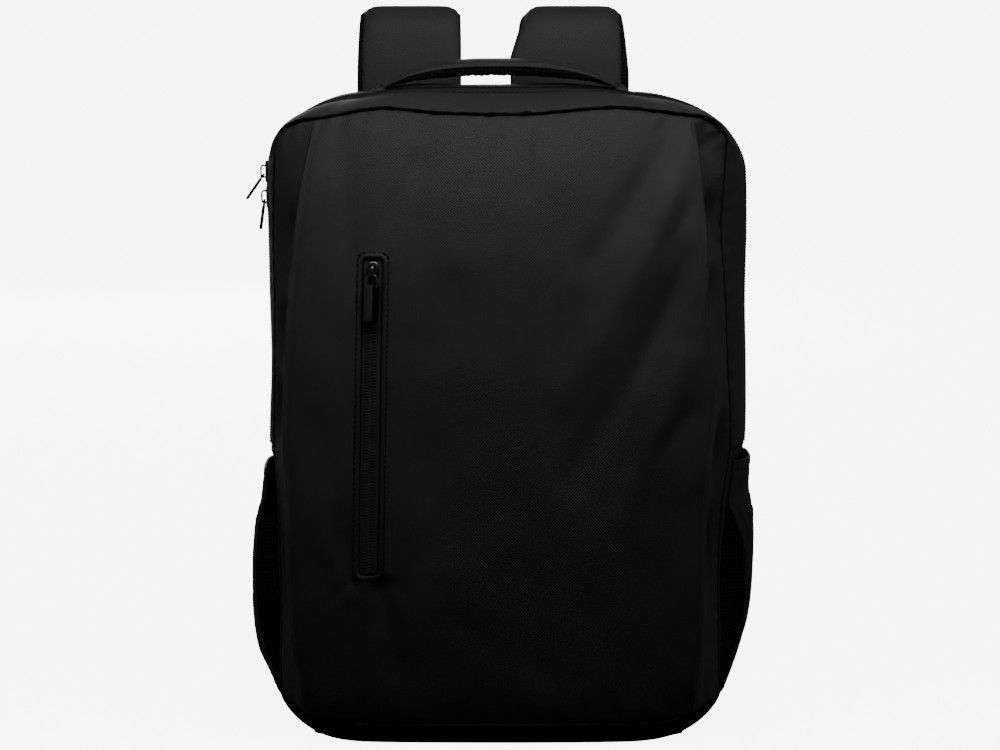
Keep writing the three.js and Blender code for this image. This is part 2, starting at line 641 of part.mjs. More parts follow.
function frontInward(across, up) {
  const edge = Math.abs(across) > 2 - 1e-6;
  const top = up > 1 - 1e-6;
  if (!edge && !top) return null;
  const side = across < 0 ? -1 : 1;
  if (top) {
    const place = Math.abs(across) <= 1 ? 3.5 + across / 2 : side < 0 ? 4 + across : 3 + across;
    return seamInward(place);
  }
  const z = lerp(baseRise, seamTop(), up);
  const lower = z < sideSeamHeight;
  const share = lower
    ? (z - baseRise) / (sideSeamHeight - baseRise)
    : 1 + (z - sideSeamHeight) / (seamTop() - sideSeamHeight);
  return seamInward(side < 0 ? share : 7 - share);
}

// Front pocket zip: its middle line, and a strip along it that follows the front face
const pocketZipX = (z) =>
  lerp(pocketZipBottomX, pocketZipTopX, (z - pocketZipBottom) / (pocketZipTop - pocketZipBottom));

// A strip along the front zip, standing in the XZ plane and leaning with it, run through the front of the bag
function zipColumn(width, bottom, top, cornerRadius) {
  const half = width / 2;
  const height = top - bottom;
  const turns = [
    [half - cornerRadius, cornerRadius, -0.5],
    [half - cornerRadius, height - cornerRadius, 0],
    [-half + cornerRadius, height - cornerRadius, 0.5],
    [-half + cornerRadius, cornerRadius, 1],
  ];
  const shape = new THREE.Shape();
  shape.moveTo(-half + cornerRadius, 0);
  for (const [x, y, from] of turns)
    shape.absarc(x, y, cornerRadius, from * Math.PI, (from + 0.5) * Math.PI);
  const column = new THREE.ExtrudeGeometry(shape, { depth: 2 * frontDepth, bevelEnabled: false, curveSegments: 3 });
  column.rotateX(Math.PI / 2);
  const lean = (pocketZipTopX - pocketZipBottomX) / (pocketZipTop - pocketZipBottom);
  column.applyMatrix4(new THREE.Matrix4().makeShear(0, 0, 0, 0, lean, 0));
  column.translate(pocketZipX(bottom), 0, bottom);
  return column;
}

// One layer of the front: its depths below the surface, kept only inside a column
function frontLayer(outer, inner, column) {
  const layer = clothSolid(frontPoint, frontColumns, frontRows, { outer, inner });
  return geometryOf(solidOf(layer).intersect(solidOf(column)));
}

function buildFront() {
  const panel = clothSolid(frontPoint, frontColumns, frontRows, { inner: frontThickness, inward: frontInward });
  const slot = zipColumn(pocketSlotWidth, pocketZipBottom, pocketZipTop, 2);
  add("front_panel", cut(panel, slot), bodyCloth);
  const tapeTop = frontThickness + seamGap;
  const tapeColumn = zipColumn(
    pocketSlotWidth + 2 * pocketTapeOverlap,
    pocketZipBottom - pocketTapeOverlap,
    pocketZipTop + pocketTapeOverlap,
    1,
  );
  add("pocket_zip_tape", frontLayer(tapeTop, tapeTop + tapeThickness, tapeColumn), zipTape);
  const chainTop = pocketSliderHeight - sliderLength / 2 - seamGap;
  const chainColumn = zipColumn(chainWidth, pocketZipBottom + 1.5, chainTop, 0.5);
  const chainDepth = tapeTop - seamGap;
  add("pocket_zip_chain", frontLayer(chainDepth - chainThickness, chainDepth, chainColumn), zipChain);
}

function buildGussets() {
  const between = (from, to, count) => range(count).map((t) => lerp(from, to, t));
  const frontGusset = clothSolid((v, u) => bodyPoint(v, u), archPlaces, between(0, 1, 3), {
    inward: (place, at) => (at < 1e-6 ? seamInward(place) : null),
  });
  add("gusset_front", frontGusset, bodyCloth);
  const rearGusset = clothSolid(bodyPoint, archPlaces, between(2, 3, 3));
  add("gusset_rear", rearGusset, bodyCloth);
  const half = chainWidth / mainZipWidth / 2;
  const tape = clothSolid(bodyPoint, archPlaces, [1, 1.5 - half, 1.5 + half, 2], {
    outer: mainTapeRecess,
    inner: mainTapeRecess + tapeThickness,
  });
  add("main_zip_tape", tape, zipTape);
  const chain = (places) =>
    clothSolid(bodyPoint, places, [1.5 - half, 1.5 + half], {
      outer: mainTapeRecess - seamGap - chainThickness,
      inner: mainTapeRecess - seamGap,
    });
  const placeAt = (z) => {
    const rise = bodyHeight * stationAt("cornerRise", 1.5);
    const cornerTop = bodyHeight * stationAt("top", 1.5) - rise;
    if (z <= cornerTop) return 1 + (z - sideSeamHeight) / (cornerTop - sideSeamHeight);
    return 2 + Math.asin((z - cornerTop) / (rise - shoulderDrop)) / (Math.PI / 2);
  };
  const above = placeAt(upperSliderHeight + sliderLength / 2 + seamGap);
  const below = placeAt(lowerSliderHeight - sliderLength / 2 - seamGap);
  add("main_zip_chain", chain([above, ...archPlaces.filter((p) => p > above + 0.02)]), zipChain);
  add("main_zip_chain_left", chain([...archPlaces.filter((p) => p < below - 0.02), below]), zipChain);
  for (const side of [-1, 1]) {
    const rows = [...lowerPlaces.slice(0, -1), pocketRim, pocketStep, 1];
    const places = side < 0 ? rows : mirrored(rows);
    const stationsAcross = [0, 0.12, 0.55, 1, 2, 2.45, 2.88, 3];
    const panel = clothSolid(sidePanelPoint, places, stationsAcross, {
      inward: (place, at) => (at < 1e-6 ? seamInward(place) : facing(bodyPoint, place, at).negate()),
    });
    add(side < 0 ? "side_panel_left" : "side_panel_right", panel, bodyCloth);
  }
}

// The base's outline in plan, counter-clockwise from above: the front panel's lower edge, the two sides and the back.
function baseOutline() {
  const returns = range(3).slice(0, -1);
  const loop = [
    ...returns.map((t) => frontPoint(-2 + t, 0)),
    ...range(16).map((t) => frontPoint(2 * t - 1, 0)),
    ...returns.map((t) => frontPoint(2 - t, 0)).reverse(),
    ...[1 / 3, 2 / 3, 1, 2, 2.5].map((at) => bodyPoint(7, at)),
  ];
  const cornerRadius = 12;
  const back = rearDepth + backThickness - seamGap;
  const right = halfWidthAt(1, baseRise, 3);
  const left = -halfWidthAt(-1, baseRise, 3);
  for (const t of range(3))
    loop.push(
      vec(
        right - cornerRadius * (1 - Math.cos((t * Math.PI) / 2)),
        back - cornerRadius * (1 - Math.sin((t * Math.PI) / 2)),
        baseRise,
      ),
    );
  for (const t of range(3).reverse())
    loop.push(
      vec(
        left + cornerRadius * (1 - Math.cos((t * Math.PI) / 2)),
        back - cornerRadius * (1 - Math.sin((t * Math.PI) / 2)),
        baseRise,
      ),
    );
  loop.push(...[2.5, 2, 1, 2 / 3, 1 / 3].map((at) => bodyPoint(0, at)));
  return loop;
}

// The outline drawn in by a share of the base's rounding, each point along the mean of its two edges' inward
// directions.
function drawnIn(loop, share, margin, z) {
  const count = loop.length;
  return loop.map((point, i) => {
    const edge = (a, b) => vec(-(b.y - a.y), b.x - a.x, 0).normalize();
    const before = edge(loop[(i + count - 1) % count], point);
    const after = edge(point, loop[(i + 1) % count]);
    const way = before.add(after).normalize();
    const reach = (rounding) => margin + share * (rounding - margin);
    const inY = reach(way.y > 0 ? baseRoundingFore : baseRoundingBack);
    return vec(point.x + way.x * reach(baseRounding), point.y + way.y * inY, z);
  });
}

function buildBase() {
  const loop = baseOutline();
  const rounding = [
    { inset: 0, height: 1 },
    { inset: 0.12, height: 0.6 },
    { inset: 0.4, height: 0.22 },
    { inset: 1, height: 0 },
  ];
  const rim = baseRise - halfGap;
  const outer = rounding.map(({ inset, height }) => drawnIn(loop, inset, 0, height * rim));
  const inner = rounding.map(({ inset, height }) =>
    drawnIn(loop, inset, clothThickness, lerp(clothThickness, rim, height)),
  );
  add("base_panel", ringSolid([...outer.reverse(), ...inner]), baseCloth);
}

function buildBackPanel() {
  const sidePlaces = [...range(6), ...range(6).slice(1).map((t) => 1 + t), ...cornerPlaces.slice(1)];
  const places = [...sidePlaces, ...range(6).slice(1, -1).map((t) => 3 + t), ...mirrored(sidePlaces)];
  const outline = places.map((place) => bodyPoint(place, 3)).map((p) => vec(p.x, 0, Math.max(p.z, baseRise + halfGap)));
  const middle = vec(0, 0, bodyHeight / 2);
  const ring = (inset, depth) =>
    outline.map((p) => {
      const x = p.x - Math.sign(p.x) * Math.min(Math.abs(p.x), inset);
      const z = p.z > middle.z ? p.z - inset : Math.max(p.z, baseRise + halfGap + inset);
      return vec(x, rearDepth + depth, z);
    });
  const front = halfGap + seamGap / 2;
  const rings = [
    ring(0.5, front),
    ring(0, front + backThickness * 0.3),
    ring(1, front + backThickness * 0.7),
    ring(5, front + backThickness * 0.94),
    ring(16, front + backThickness),
  ];
  add("back_panel", ringSolid(rings), meshCloth);
}

// Side pockets. The cloth's section at a height, from the front seam out and round to the rear of the side panel.
function pocketSection(side, z, top) {
  const share = clamp((z - baseRise) / (top - baseRise), 0, 1);
  const wall = (at) => halfWidthAt(side, z, at);
  const clear = seamGap + pocketClothThickness;
  const edge = pocketFullness * tableAt(pocketProfile, "height", "edge", share);
  const fullColumn = side < 0 ? "fullLeft" : "full";
  const full = pocketFullness * tableAt(pocketProfile, "height", fullColumn, share);
  const out = (at, rise) => vec(side * (wall(at) + Math.max(rise, clear)), depthAt(at, 0), z);
  return [out(0.08, 0), out(0.62, edge), out(1, Math.max(full, edge * 0.9)), out(1.7, full), out(2.4, full * 0.9), out(2.86, 0)];
}

const pocketMeshShare = 0.2; // share of a pocket's section that is mesh, in front

function pocketSurface(side, top) {
  return (round, z) => {
    const points = pocketSection(side, z, top);
    const place = clamp(round, 0, 1);
    const curve = new THREE.CatmullRomCurve3(points, false, "centripetal");
    const point = curve.getPoint(place);
    const beyond = round - place;
    return beyond ? point.addScaledVector(curve.getTangent(place), beyond * 100) : point;
  };
}

function buildPocket(side) {
  const name = side < 0 ? "left" : "right";
  const top = side < 0 ? pocketLeftHeight : pocketRightHeight;
  const surface = pocketSurface(side, top);
  const bottom = baseRise;
  const bandBottom = top - pocketBandWidth;
  const inside = { outer: 0, inner: pocketClothThickness };
  const facingOut = side > 0;
  const solid = (rounds, heights) => {
    const ordered = facingOut ? (u, v) => surface(u, v) : (v, u) => surface(u, v);
    return facingOut ? clothSolid(ordered, rounds, heights, inside) : clothSolid(ordered, heights, rounds, inside);
  };
  const heights = range(9).map((t) => lerp(bottom, bandBottom, t));
  const bandHeights = range(2).map((t) => lerp(bandBottom, top, t));
  const clothRounds = range(9).map((t) => lerp(pocketMeshShare, 1, t));
  add("side_pocket_mesh_" + name, solid([0, pocketMeshShare / 2, pocketMeshShare], heights), meshCloth);
  add("side_pocket_" + name, solid(clothRounds, heights), bodyCloth);
  add("side_pocket_band_" + name, solid(clothRounds, bandHeights), bodyCloth);
}

// Carrying handle: a cloth cover over a mesh pad, between two short anchors on the top panel
function buildHandle() {
  const at = 2 + (handleSetback - mainZipWidth) / (rearDepth - mainZipWidth);
  const placeOf = (x) => 3 + (x - bodyPoint(3, at).x) / (bodyPoint(4, at).x - bodyPoint(3, at).x);
  const stationsAlong = range(20).map((t) => {
    const along = t - 0.5;
    const ground = bodyPoint(placeOf(along * handleSpan), at).z;
    const top = ground + handleRise * tableAt(handleShape, "along", "top", along);
    const thick = handleThickness * tableAt(handleShape, "along", "thick", along);
    const split = top - thick * 0.45;
    return { x: along * handleSpan, top, split, bottom: top - thick };
  });
  const half = handleWidth / 2;
  const path = (section) =>
    stationsAlong.map((s) => ({
      origin: vec(s.x, handleSetback, 0),
      side: vec(0, 1, 0),
      up: vec(0, 0, 1),
      section: section(s),
    }));
  const cover = path((s) => {
    const rise = s.top - s.split;
    return [
      [-half, s.split + halfGap],
      [half, s.split + halfGap],
      [half * 0.93, s.split + rise * 0.6],
      [half * 0.68, s.top - rise * 0.08],
      [0, s.top],
      [-half * 0.68, s.top - rise * 0.08],
      [-half * 0.93, s.split + rise * 0.6],
    ];
  });
  const pad = path((s) => {
    const drop = s.split - s.bottom;
    return [
      [half * 0.98, s.split - halfGap],
      [-half * 0.98, s.split - halfGap],
      [-half * 0.93, s.split - drop * 0.6],
      [-half * 0.68, s.bottom + drop * 0.08],
      [0, s.bottom],
      [half * 0.68, s.bottom + drop * 0.08],
      [half * 0.93, s.split - drop * 0.6],
    ];
  });
  add("handle_cover", sweptSolid(cover), bodyCloth);
  add("handle_pad", sweptSolid(pad), meshCloth);
  for (const side of [-1, 1]) {
    const near = handleSpan / 2 + seamGap;
    const places = range(2).map((t) => placeOf(side * (near + t * handleAnchorLength)));
    const reach = handleWidth / 2 / (rearDepth - mainZipWidth);
    const across = range(4).map((t) => at + reach * (2 * t - 1));
    const anchor = clothSolid(bodyPoint, places.sort((a, b) => a - b), across, {
      outer: -seamGap - handleAnchorThickness,
      inner: -seamGap,
    });
    add(side < 0 ? "handle_anchor_left" : "handle_anchor_right", anchor, bodyCloth);
  }
}

// The middle surface of a shoulder strap: its points, side direction and outward direction
function strapStations(side) {
  const backFace = rearDepth + backThickness + seamGap;
  const middle = side * (strapSpacing / 2) + strapShift;
  const points = strapPath.map(({ back, rise, drop, out }) => {
    const height = bodyHeight + rise * strapRise - drop * strapLength - strapCoverThickness;
    return vec(middle + side * out * strapSpacing, backFace + back * strapFold, height);
  });
  const curve = new THREE.CatmullRomCurve3(points, false, "centripetal");
  const spans = strapPath.length - 1;
  const shares = strapPath.slice(0, -1).flatMap(({ steps }, i) => range(steps).slice(0, -1).map((t) => (i + t) / spans));
  return [...shares, 1].map((share) => {
    const forward = curve.getTangent(share);
    const across = vec(1, 0, 0).addScaledVector(forward, -forward.x).normalize();
    return { origin: curve.getPoint(share), side: across, up: across.clone().cross(forward).normalize(), share };
  });
}

function strapWidthAt(share) {
  const rows = strapPath.map((row, i) => ({ at: i / (strapPath.length - 1), wide: row.wide }));
  return strapWidth * tableAt(rows, "at", "wide", share);
}

function buildStrap(side) {
  const name = side < 0 ? "left" : "right";
  const stationsAlong = strapStations(side);
  const cover = stationsAlong.map((s) => {
    const half = strapWidthAt(s.share) / 2;
    const high = strapCoverThickness;
    return {
      ...s,
      section: [
        [-half, halfGap],
        [-half, high * 0.45],
        [-half + 2.5, high],
        [half - 2.5, high],
        [half, high * 0.45],
        [half, halfGap],
        [0, halfGap],
      ],
    };
  });
  const pad = stationsAlong.map((s) => {
    const half = strapWidthAt(s.share) / 2 + strapPadMargin;
    const low = -strapPadThickness;
    return {
      ...s,
      section: [
        [half, -halfGap],
        [half, low * 0.6],
        [half - 3, low],
        [-half + 3, low],
        [-half, low * 0.6],
        [-half, -halfGap],
        [0, -halfGap],
      ],
    };
  });
  add("strap_cover_" + name, sweptSolid(cover), bodyCloth);
  add("strap_pad_" + name, sweptSolid(pad), meshCloth);
  buildWebbing(side, name, stationsAlong[stationsAlong.length - 1]);
}

// A flat rectangle with round corners, standing in the XZ plane, cut by slots
function frameGeometry(width, height, thickness, slots) {
  const rounded = (target, w, h, radius, z) => {
    const [x, y] = [w / 2 - radius, h / 2 - radius];
    target.moveTo(-x, z - h / 2);
    target.lineTo(x, z - h / 2);
    target.absarc(x, z - y, radius, -Math.PI / 2, 0);
    target.lineTo(w / 2, z + y);
    target.absarc(x, z + y, radius, 0, Math.PI / 2);
    target.lineTo(-x, z + h / 2);
    target.absarc(-x, z + y, radius, Math.PI / 2, Math.PI);
    target.lineTo(-w / 2, z - y);
    target.absarc(-x, z - y, radius, Math.PI, 1.5 * Math.PI);
    return target;
  };
  const shape = rounded(new THREE.Shape(), width, height, 4, 0);
  for (const slot of slots) shape.holes.push(rounded(new THREE.Path(), slot.width, slot.height, 1, slot.at));
  const plate = new THREE.ExtrudeGeometry(shape, { depth: thickness, bevelEnabled: false, curveSegments: 2 });
  plate.translate(0, 0, -thickness / 2);
  plate.rotateX(Math.PI / 2);
  return plate;
}

// The lower end of a strap: its adjuster, the webbing down to the bag and the anchor sewn to the back panel
function buildWebbing(side, name, end) {
  const slotHeight = 5;
  const barAt = adjusterHeight / 2 - slotHeight;
  const adjuster = frameGeometry(adjusterWidth, adjusterHeight, adjusterThickness, [
    { width: webbingWidth + 3, height: slotHeight, at: barAt - 2 },
    { width: webbingWidth + 3, height: slotHeight, at: -barAt + 2 },
  ]);
  const middle = end.origin.clone().addScaledVector(end.up, (strapCoverThickness - strapPadThickness) / 2);
  const hang = middle.clone().addScaledVector(vec(0, 0, -1), adjusterHeight / 2 + 1);
  adjuster.translate(hang.x, hang.y, hang.z);
  add("strap_adjuster_" + name, adjuster, plastic);
  const start = hang.clone().add(vec(0, 0, -adjusterHeight / 2 - seamGap));
  const backFace = rearDepth + backThickness + seamGap * 2;
  const finish = vec(side * anchorSpread, backFace + anchorThickness / 2, anchorHeight);
  const lead = finish.clone().sub(start);
  const points = [
    start,
    start.clone().add(vec(0, 0, -5)),
    start.clone().addScaledVector(lead, 0.33).add(vec(0, 3, -6)),
    start.clone().addScaledVector(lead, 0.7).add(vec(0, 1, -4)),
    finish,
  ];
  const curve = new THREE.CatmullRomCurve3(points, false, "centripetal");
  const lean = lead.clone().setY(0).normalize();
  const strip = range(9).map((t) => {
    const across = vec(1, 0, 0).lerp(vec(-lean.z, 0, lean.x), Math.min(1, 2.5 * t)).normalize();
    let forward = curve.getTangentAt(t);
    if (t === 0) forward = vec(0, 0, -1);
    if (t === 1) forward = lean.clone();
    const flat = across.addScaledVector(forward, -across.dot(forward)).normalize();
    const half = webbingWidth / 2;
    const thick = webbingThickness / 2;
    return {
      origin: curve.getPointAt(t),
      side: flat,
      up: flat.clone().cross(forward).normalize(),
      section: [
        [-half, -thick],
        [half, -thick],
        [half, thick],
        [-half, thick],
      ],
    };
  });
  add("strap_webbing_" + name, sweptSolid(strip), webbing);
  const tip = vec(-lean.z, 0, lean.x).multiplyScalar(webbingWidth / 2);
  const away = lean.clone().multiplyScalar(seamGap + 0.6);
  const near = finish.clone().add(away);
  const far = near.clone().addScaledVector(lean, anchorSize * 0.62);
  const corners = [
    near.clone().add(tip),
    near.clone().sub(tip),
    far.clone().sub(tip),
    far.clone().add(tip),
  ];
  const low = (p) => vec(p.x, backFace, Math.max(p.z, baseRise + 1));
  const high = (p) => vec(p.x, backFace + anchorThickness, Math.max(p.z, baseRise + 1));
  add("strap_anchor_" + name, ringSolid([corners.map(low), corners.map(high)]), bodyCloth);
}

// A zip slider in its own frame: +Z along the zip, +Y into the bag, its underside resting on the tape at y = 0
function sliderGeometry() {
  const half = sliderWidth / 2;
  const shape = new THREE.Shape();
  shape.moveTo(-half * 0.62, -sliderLength / 2);
  shape.lineTo(half * 0.62, -sliderLength / 2);
  shape.lineTo(half * 0.72, -sliderLength * 0.1);
  shape.quadraticCurveTo(half, sliderLength * 0.15, half, sliderLength * 0.3);
  shape.quadraticCurveTo(half * 0.9, sliderLength / 2, half * 0.35, sliderLength / 2);
  shape.lineTo(-half * 0.35, sliderLength / 2);
  shape.quadraticCurveTo(-half * 0.9, sliderLength / 2, -half, sliderLength * 0.3);
  shape.quadraticCurveTo(-half, sliderLength * 0.15, -half * 0.72, -sliderLength * 0.1);
  const body = new THREE.ExtrudeGeometry(shape, { depth: sliderThickness, bevelEnabled: false, curveSegments: 3 });
  body.rotateX(Math.PI / 2);
  const arch = new THREE.Shape();
  const reach = bridgeReach / 2;
  const sunk = sliderThickness * 0.4;
  arch.moveTo(-reach, -sunk);
  arch.lineTo(-reach, bridgeRise * 0.45);
  arch.quadraticCurveTo(-reach, bridgeRise, -reach * 0.45, bridgeRise);
  arch.lineTo(reach * 0.45, bridgeRise);
  arch.quadraticCurveTo(reach, bridgeRise, reach, bridgeRise * 0.45);
  arch.lineTo(reach, -sunk);
  arch.lineTo(reach - bridgeWire, -sunk);
  arch.lineTo(reach - bridgeWire, bridgeRise - bridgeWire * 1.2);
  arch.lineTo(reach * 0.45, bridgeRise - bridgeWire);
  arch.lineTo(-reach * 0.45, bridgeRise - bridgeWire);
  arch.lineTo(-reach + bridgeWire, bridgeRise - bridgeWire * 1.2);
  arch.lineTo(-reach + bridgeWire, -sunk);
  const bridge = new THREE.ExtrudeGeometry(arch, { depth: bridgeWidth, bevelEnabled: false, curveSegments: 3 });
  bridge.translate(0, 0, -bridgeWidth / 2);
  bridge.applyMatrix4(new THREE.Matrix4().makeBasis(vec(0, 0, 1), vec(0, -1, 0), vec(1, 0, 0)));
  bridge.translate(0, -sliderThickness, 0);
  return joined(body, bridge);
}

const pivotHeight = () => sliderThickness + (bridgeRise - bridgeWire) / 2;
const pivotDrop = bridgeReach / 2 - bridgeWire - wireRadius - seamGap;

// A closed wire loop through corner points in the XZ plane, mitred at its corners
function wireLoop(corners, radius) {
  const sides = 8;
  const count = corners.length;
  const points = corners.flatMap((corner, i) => {
    const before = corner.clone().sub(corners[(i + count - 1) % count]).normalize();
    const after = corners[(i + 1) % count].clone().sub(corner).normalize();
    const outward = before.clone().sub(after).normalize();
    const stretch = 1 / Math.sqrt((1 + before.dot(after)) / 2);
    return range(sides)
      .slice(0, -1)
      .map((t) => {
        const turn = 2 * Math.PI * t;
        const spoke = outward.clone().multiplyScalar(Math.cos(turn) * stretch);
        return corner.clone().addScaledVector(spoke.add(vec(0, Math.sin(turn), 0)), radius);
      });
  });
  const faces = [];
  for (let i = 0; i < count; i++)
    for (let j = 0; j < sides; j++) {
      const [a, b] = [i * sides + j, i * sides + ((j + 1) % sides)];
      const [c, d] = [((i + 1) % count) * sides + j, ((i + 1) % count) * sides + ((j + 1) % sides)];
      faces.push(a, b, d, a, d, c);
    }
  return closedGeometry(points, faces);
}

// The front slider's frame: -Y faces out of the bag and +Z runs along the zip
function pocketSliderFrame() {
  const surface = (across, up) => {
    const z = pocketSliderHeight + up;
    const x = pocketZipX(z) + across;
    return vec(x, faceDepth(x, z), z);
  };
  const out = surface(1, 0).sub(surface(-1, 0)).cross(surface(0, 6).sub(surface(0, -6))).normalize();
  const along = surface(0, 6).sub(surface(0, -6)).normalize();
  const across = along.clone().cross(out).normalize();
  const frame = new THREE.Matrix4().makeBasis(across, out.clone().negate(), along);
  frame.setPosition(surface(0, 0).addScaledVector(out, -frontThickness));
  return frame;
}

function pullRingCorners() {
  const [top, bottom] = [pullRingTopWidth / 2, pullRingBottomWidth / 2];
  return [vec(-top, 0, 0), vec(top, 0, 0), vec(bottom, 0, -pullRingHeight), vec(-bottom, 0, -pullRingHeight)];
}

function buildPocketSlider() {
  const frame = pocketSliderFrame();
  add("pocket_zip_slider", sliderGeometry().applyMatrix4(frame), gunmetal);
  const hang = (geometry) => {
    geometry.rotateX(THREE.MathUtils.degToRad(-pocketPullAngle));
    geometry.translate(0, -pivotHeight(), -pivotDrop);
    return geometry.applyMatrix4(frame);
  };
  const tab = new THREE.CylinderGeometry(pullTabWidth / 2, pullTabWidth / 2, pullTabLength, 14);
  tab.scale(1, 1, pullTabThickness / pullTabWidth);
  tab.rotateX(Math.PI / 2);
  tab.translate(0, 0, wireRadius * 1.6 - pullRingHeight - pullTabLength / 2);
  const room = wireLoop(pullRingCorners(), wireRadius + seamGap);
  add("pocket_pull_ring", hang(wireLoop(pullRingCorners(), wireRadius)), gunmetal);
  add("pocket_pull_tab", hang(cut(tab, room)), pullRubber);
}

// Main zip sliders on the left side: the frame of a slider at a height
function sideSliderFrame(height) {
  const at = 1.5;
  const x = -halfWidthAt(-1, height, at) + mainTapeRecess - seamGap;
  const frame = new THREE.Matrix4().makeBasis(vec(0, -1, 0), vec(1, 0, 0), vec(0, 0, 1));
  frame.setPosition(x, depthAt(at, 0), height);
  return frame;
}

function buildSideSlider(name, height, angle, flip) {
  const frame = sideSliderFrame(height);
  const slider = sliderGeometry();
  if (flip) slider.rotateY(Math.PI);
  add("main_slider_" + name, slider.applyMatrix4(frame), gunmetal);
  const eye = [
    vec(-pullRingTopWidth / 2, 0, 0),
    vec(pullRingTopWidth / 2, 0, 0),
    vec(pullRingTopWidth / 2, 0, -4.4),
    vec(-pullRingTopWidth / 2, 0, -4.4),
  ];
  const blade = new THREE.Shape();
  const half = sidePullWidth / 2;
  blade.moveTo(-pullRingTopWidth / 2, -4);
  blade.lineTo(-half, -6);
  blade.lineTo(-half, -sidePullLength + 2);
  blade.quadraticCurveTo(-half, -sidePullLength, -half + 2, -sidePullLength);
  blade.lineTo(half - 2, -sidePullLength);
  blade.quadraticCurveTo(half, -sidePullLength, half, -sidePullLength + 2);
  blade.lineTo(half, -6);
  blade.lineTo(pullRingTopWidth / 2, -4);
  const plate = new THREE.ExtrudeGeometry(blade, { depth: sidePullThickness, bevelEnabled: false, curveSegments: 3 });
  plate.translate(0, 0, -sidePullThickness / 2);
  plate.rotateX(Math.PI / 2);
  const pull = joined(wireLoop(eye, wireRadius), plate);
  pull.rotateX(THREE.MathUtils.degToRad(-angle));
  pull.translate(0, -pivotHeight(), -pivotDrop);
  add("main_pull_" + name, pull.applyMatrix4(frame), gunmetal);
}

buildFront();
buildGussets();
buildBase();
buildBackPanel();
buildPocket(-1);
buildPocket(1);
buildHandle();
buildStrap(-1);
buildStrap(1);
buildPocketSlider();
buildSideSlider("upper", upperSliderHeight, upperPullAngle, false);
buildSideSlider("lower", lowerSliderHeight, lowerPullAngle, false);

export default group;
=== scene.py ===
import json
import math

import bmesh
import bpy
import numpy as np
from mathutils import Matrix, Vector
from mathutils.bvhtree import BVHTree

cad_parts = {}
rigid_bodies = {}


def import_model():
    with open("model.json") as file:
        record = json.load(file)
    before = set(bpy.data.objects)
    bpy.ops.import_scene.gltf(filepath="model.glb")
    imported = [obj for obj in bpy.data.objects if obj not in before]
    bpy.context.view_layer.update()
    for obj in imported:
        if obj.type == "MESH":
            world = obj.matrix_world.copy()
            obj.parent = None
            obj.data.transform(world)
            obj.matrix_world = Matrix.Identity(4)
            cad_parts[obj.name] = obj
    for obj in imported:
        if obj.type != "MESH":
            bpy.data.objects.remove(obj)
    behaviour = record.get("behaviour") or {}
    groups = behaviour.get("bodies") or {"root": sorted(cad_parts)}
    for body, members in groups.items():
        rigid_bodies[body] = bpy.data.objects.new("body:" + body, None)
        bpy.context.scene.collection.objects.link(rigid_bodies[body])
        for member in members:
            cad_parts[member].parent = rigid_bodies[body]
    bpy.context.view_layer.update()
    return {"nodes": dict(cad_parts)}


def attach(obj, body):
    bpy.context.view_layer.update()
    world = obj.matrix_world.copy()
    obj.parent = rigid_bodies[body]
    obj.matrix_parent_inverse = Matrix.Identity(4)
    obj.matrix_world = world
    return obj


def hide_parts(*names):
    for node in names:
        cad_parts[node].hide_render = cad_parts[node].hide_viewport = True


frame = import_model()

# Sizes are in millimetres until a mesh is made, which turns them into metres.
MM = 0.001

# Bag body
BODY_HEIGHT = 428
BODY_WIDTH = 314
FRONT_DEPTH = 82  # main zip to the fullest point of the front face
REAR_DEPTH = 50  # main zip to the back seam
FRONT_SETBACK = 28  # front seam to the main zip, along the sides
TOP_SETBACK = 36  # front seam to the main zip, across the top
BASE_RISE = 14
BASE_ROUNDING = 17
BASE_ROUNDING_FORE = 8
BASE_ROUNDING_BACK = 3
SHOULDER_DROP = 4.5
SIDE_SEAM = 190  # where the gusset meets the side panels
CLOTH = 1.6
SEAM_GAP = 0.36  # between two pieces that are sewn or pressed together
HALF_WIDTH = BODY_WIDTH / 2

# Zips
ZIP_WIDTH = 16
MAIN_TAPE_RECESS = 1.5
COIL_WIDTH = 5
POCKET_COIL_WIDTH = 7.2
TOOTH_PITCH = 1.95
SLOT_TOP = BODY_HEIGHT - 102.5
SLOT_BOTTOM = SLOT_TOP - 210
SLOT_TOP_X = -82.4
SLOT_BOTTOM_X = -86.3
SLOT_WIDTH = 15.4
SLOT_TAPE_DEPTH = 2.4  # surface of the cloth to the tape behind the slot

# Handle, back and straps
BACK_THICKNESS = 7
HANDLE_SPAN = 153
HANDLE_RISE = 17.6
HANDLE_WIDTH = 27
HANDLE_THICKNESS = 11.4
HANDLE_SETBACK = 30
STRAP_WIDTH = 69.5
STRAP_SPACING = 108
STRAP_SHIFT = -6.5
STRAP_NARROWER = 0.955  # the left strap beside the right one, as they lie
STRAP_RISE = 52.5
STRAP_FOLD = 42
STRAP_LENGTH = 300
STRAP_COVER = 2.5
STRAP_PAD = 6.5
WEBBING_WIDTH = 25
ADJUSTER_HEIGHT = 24
ANCHOR_SIZE = 38
ANCHOR_THICKNESS = 3
HANDLE_TAB = 8
HANDLE_TAB_THICKNESS = 2.6
CHANNEL_START = 6  # ring of the back pad where its channels begin
CHANNEL_RINGS = 7.5  # rings over which they reach their depth
SLIDER_DROP = 10  # top of the slot to the slider
SLIDER_LENGTH = 14
SLIDER_WIDTH = 8.6
PULL_ANGLE = 4
PIVOT_HEIGHT = 4.2
PIVOT_DROP = 2.29
PULL_RING = [(-2.3, 0, 0), (2.3, 0, 0), (4, 0, -7.4), (-4, 0, -7.4)]  # corners of the front slider's wire ring
TAB_TOP = 6.36  # pivot of the ring to the tab
TAB_LENGTH = 24.2
TAB_END = 3  # the tab's rounded end
SIDE_EYE = [(-2.3, 0, 0), (2.3, 0, 0), (2.3, 0, -4.6), (-2.3, 0, -4.6)]
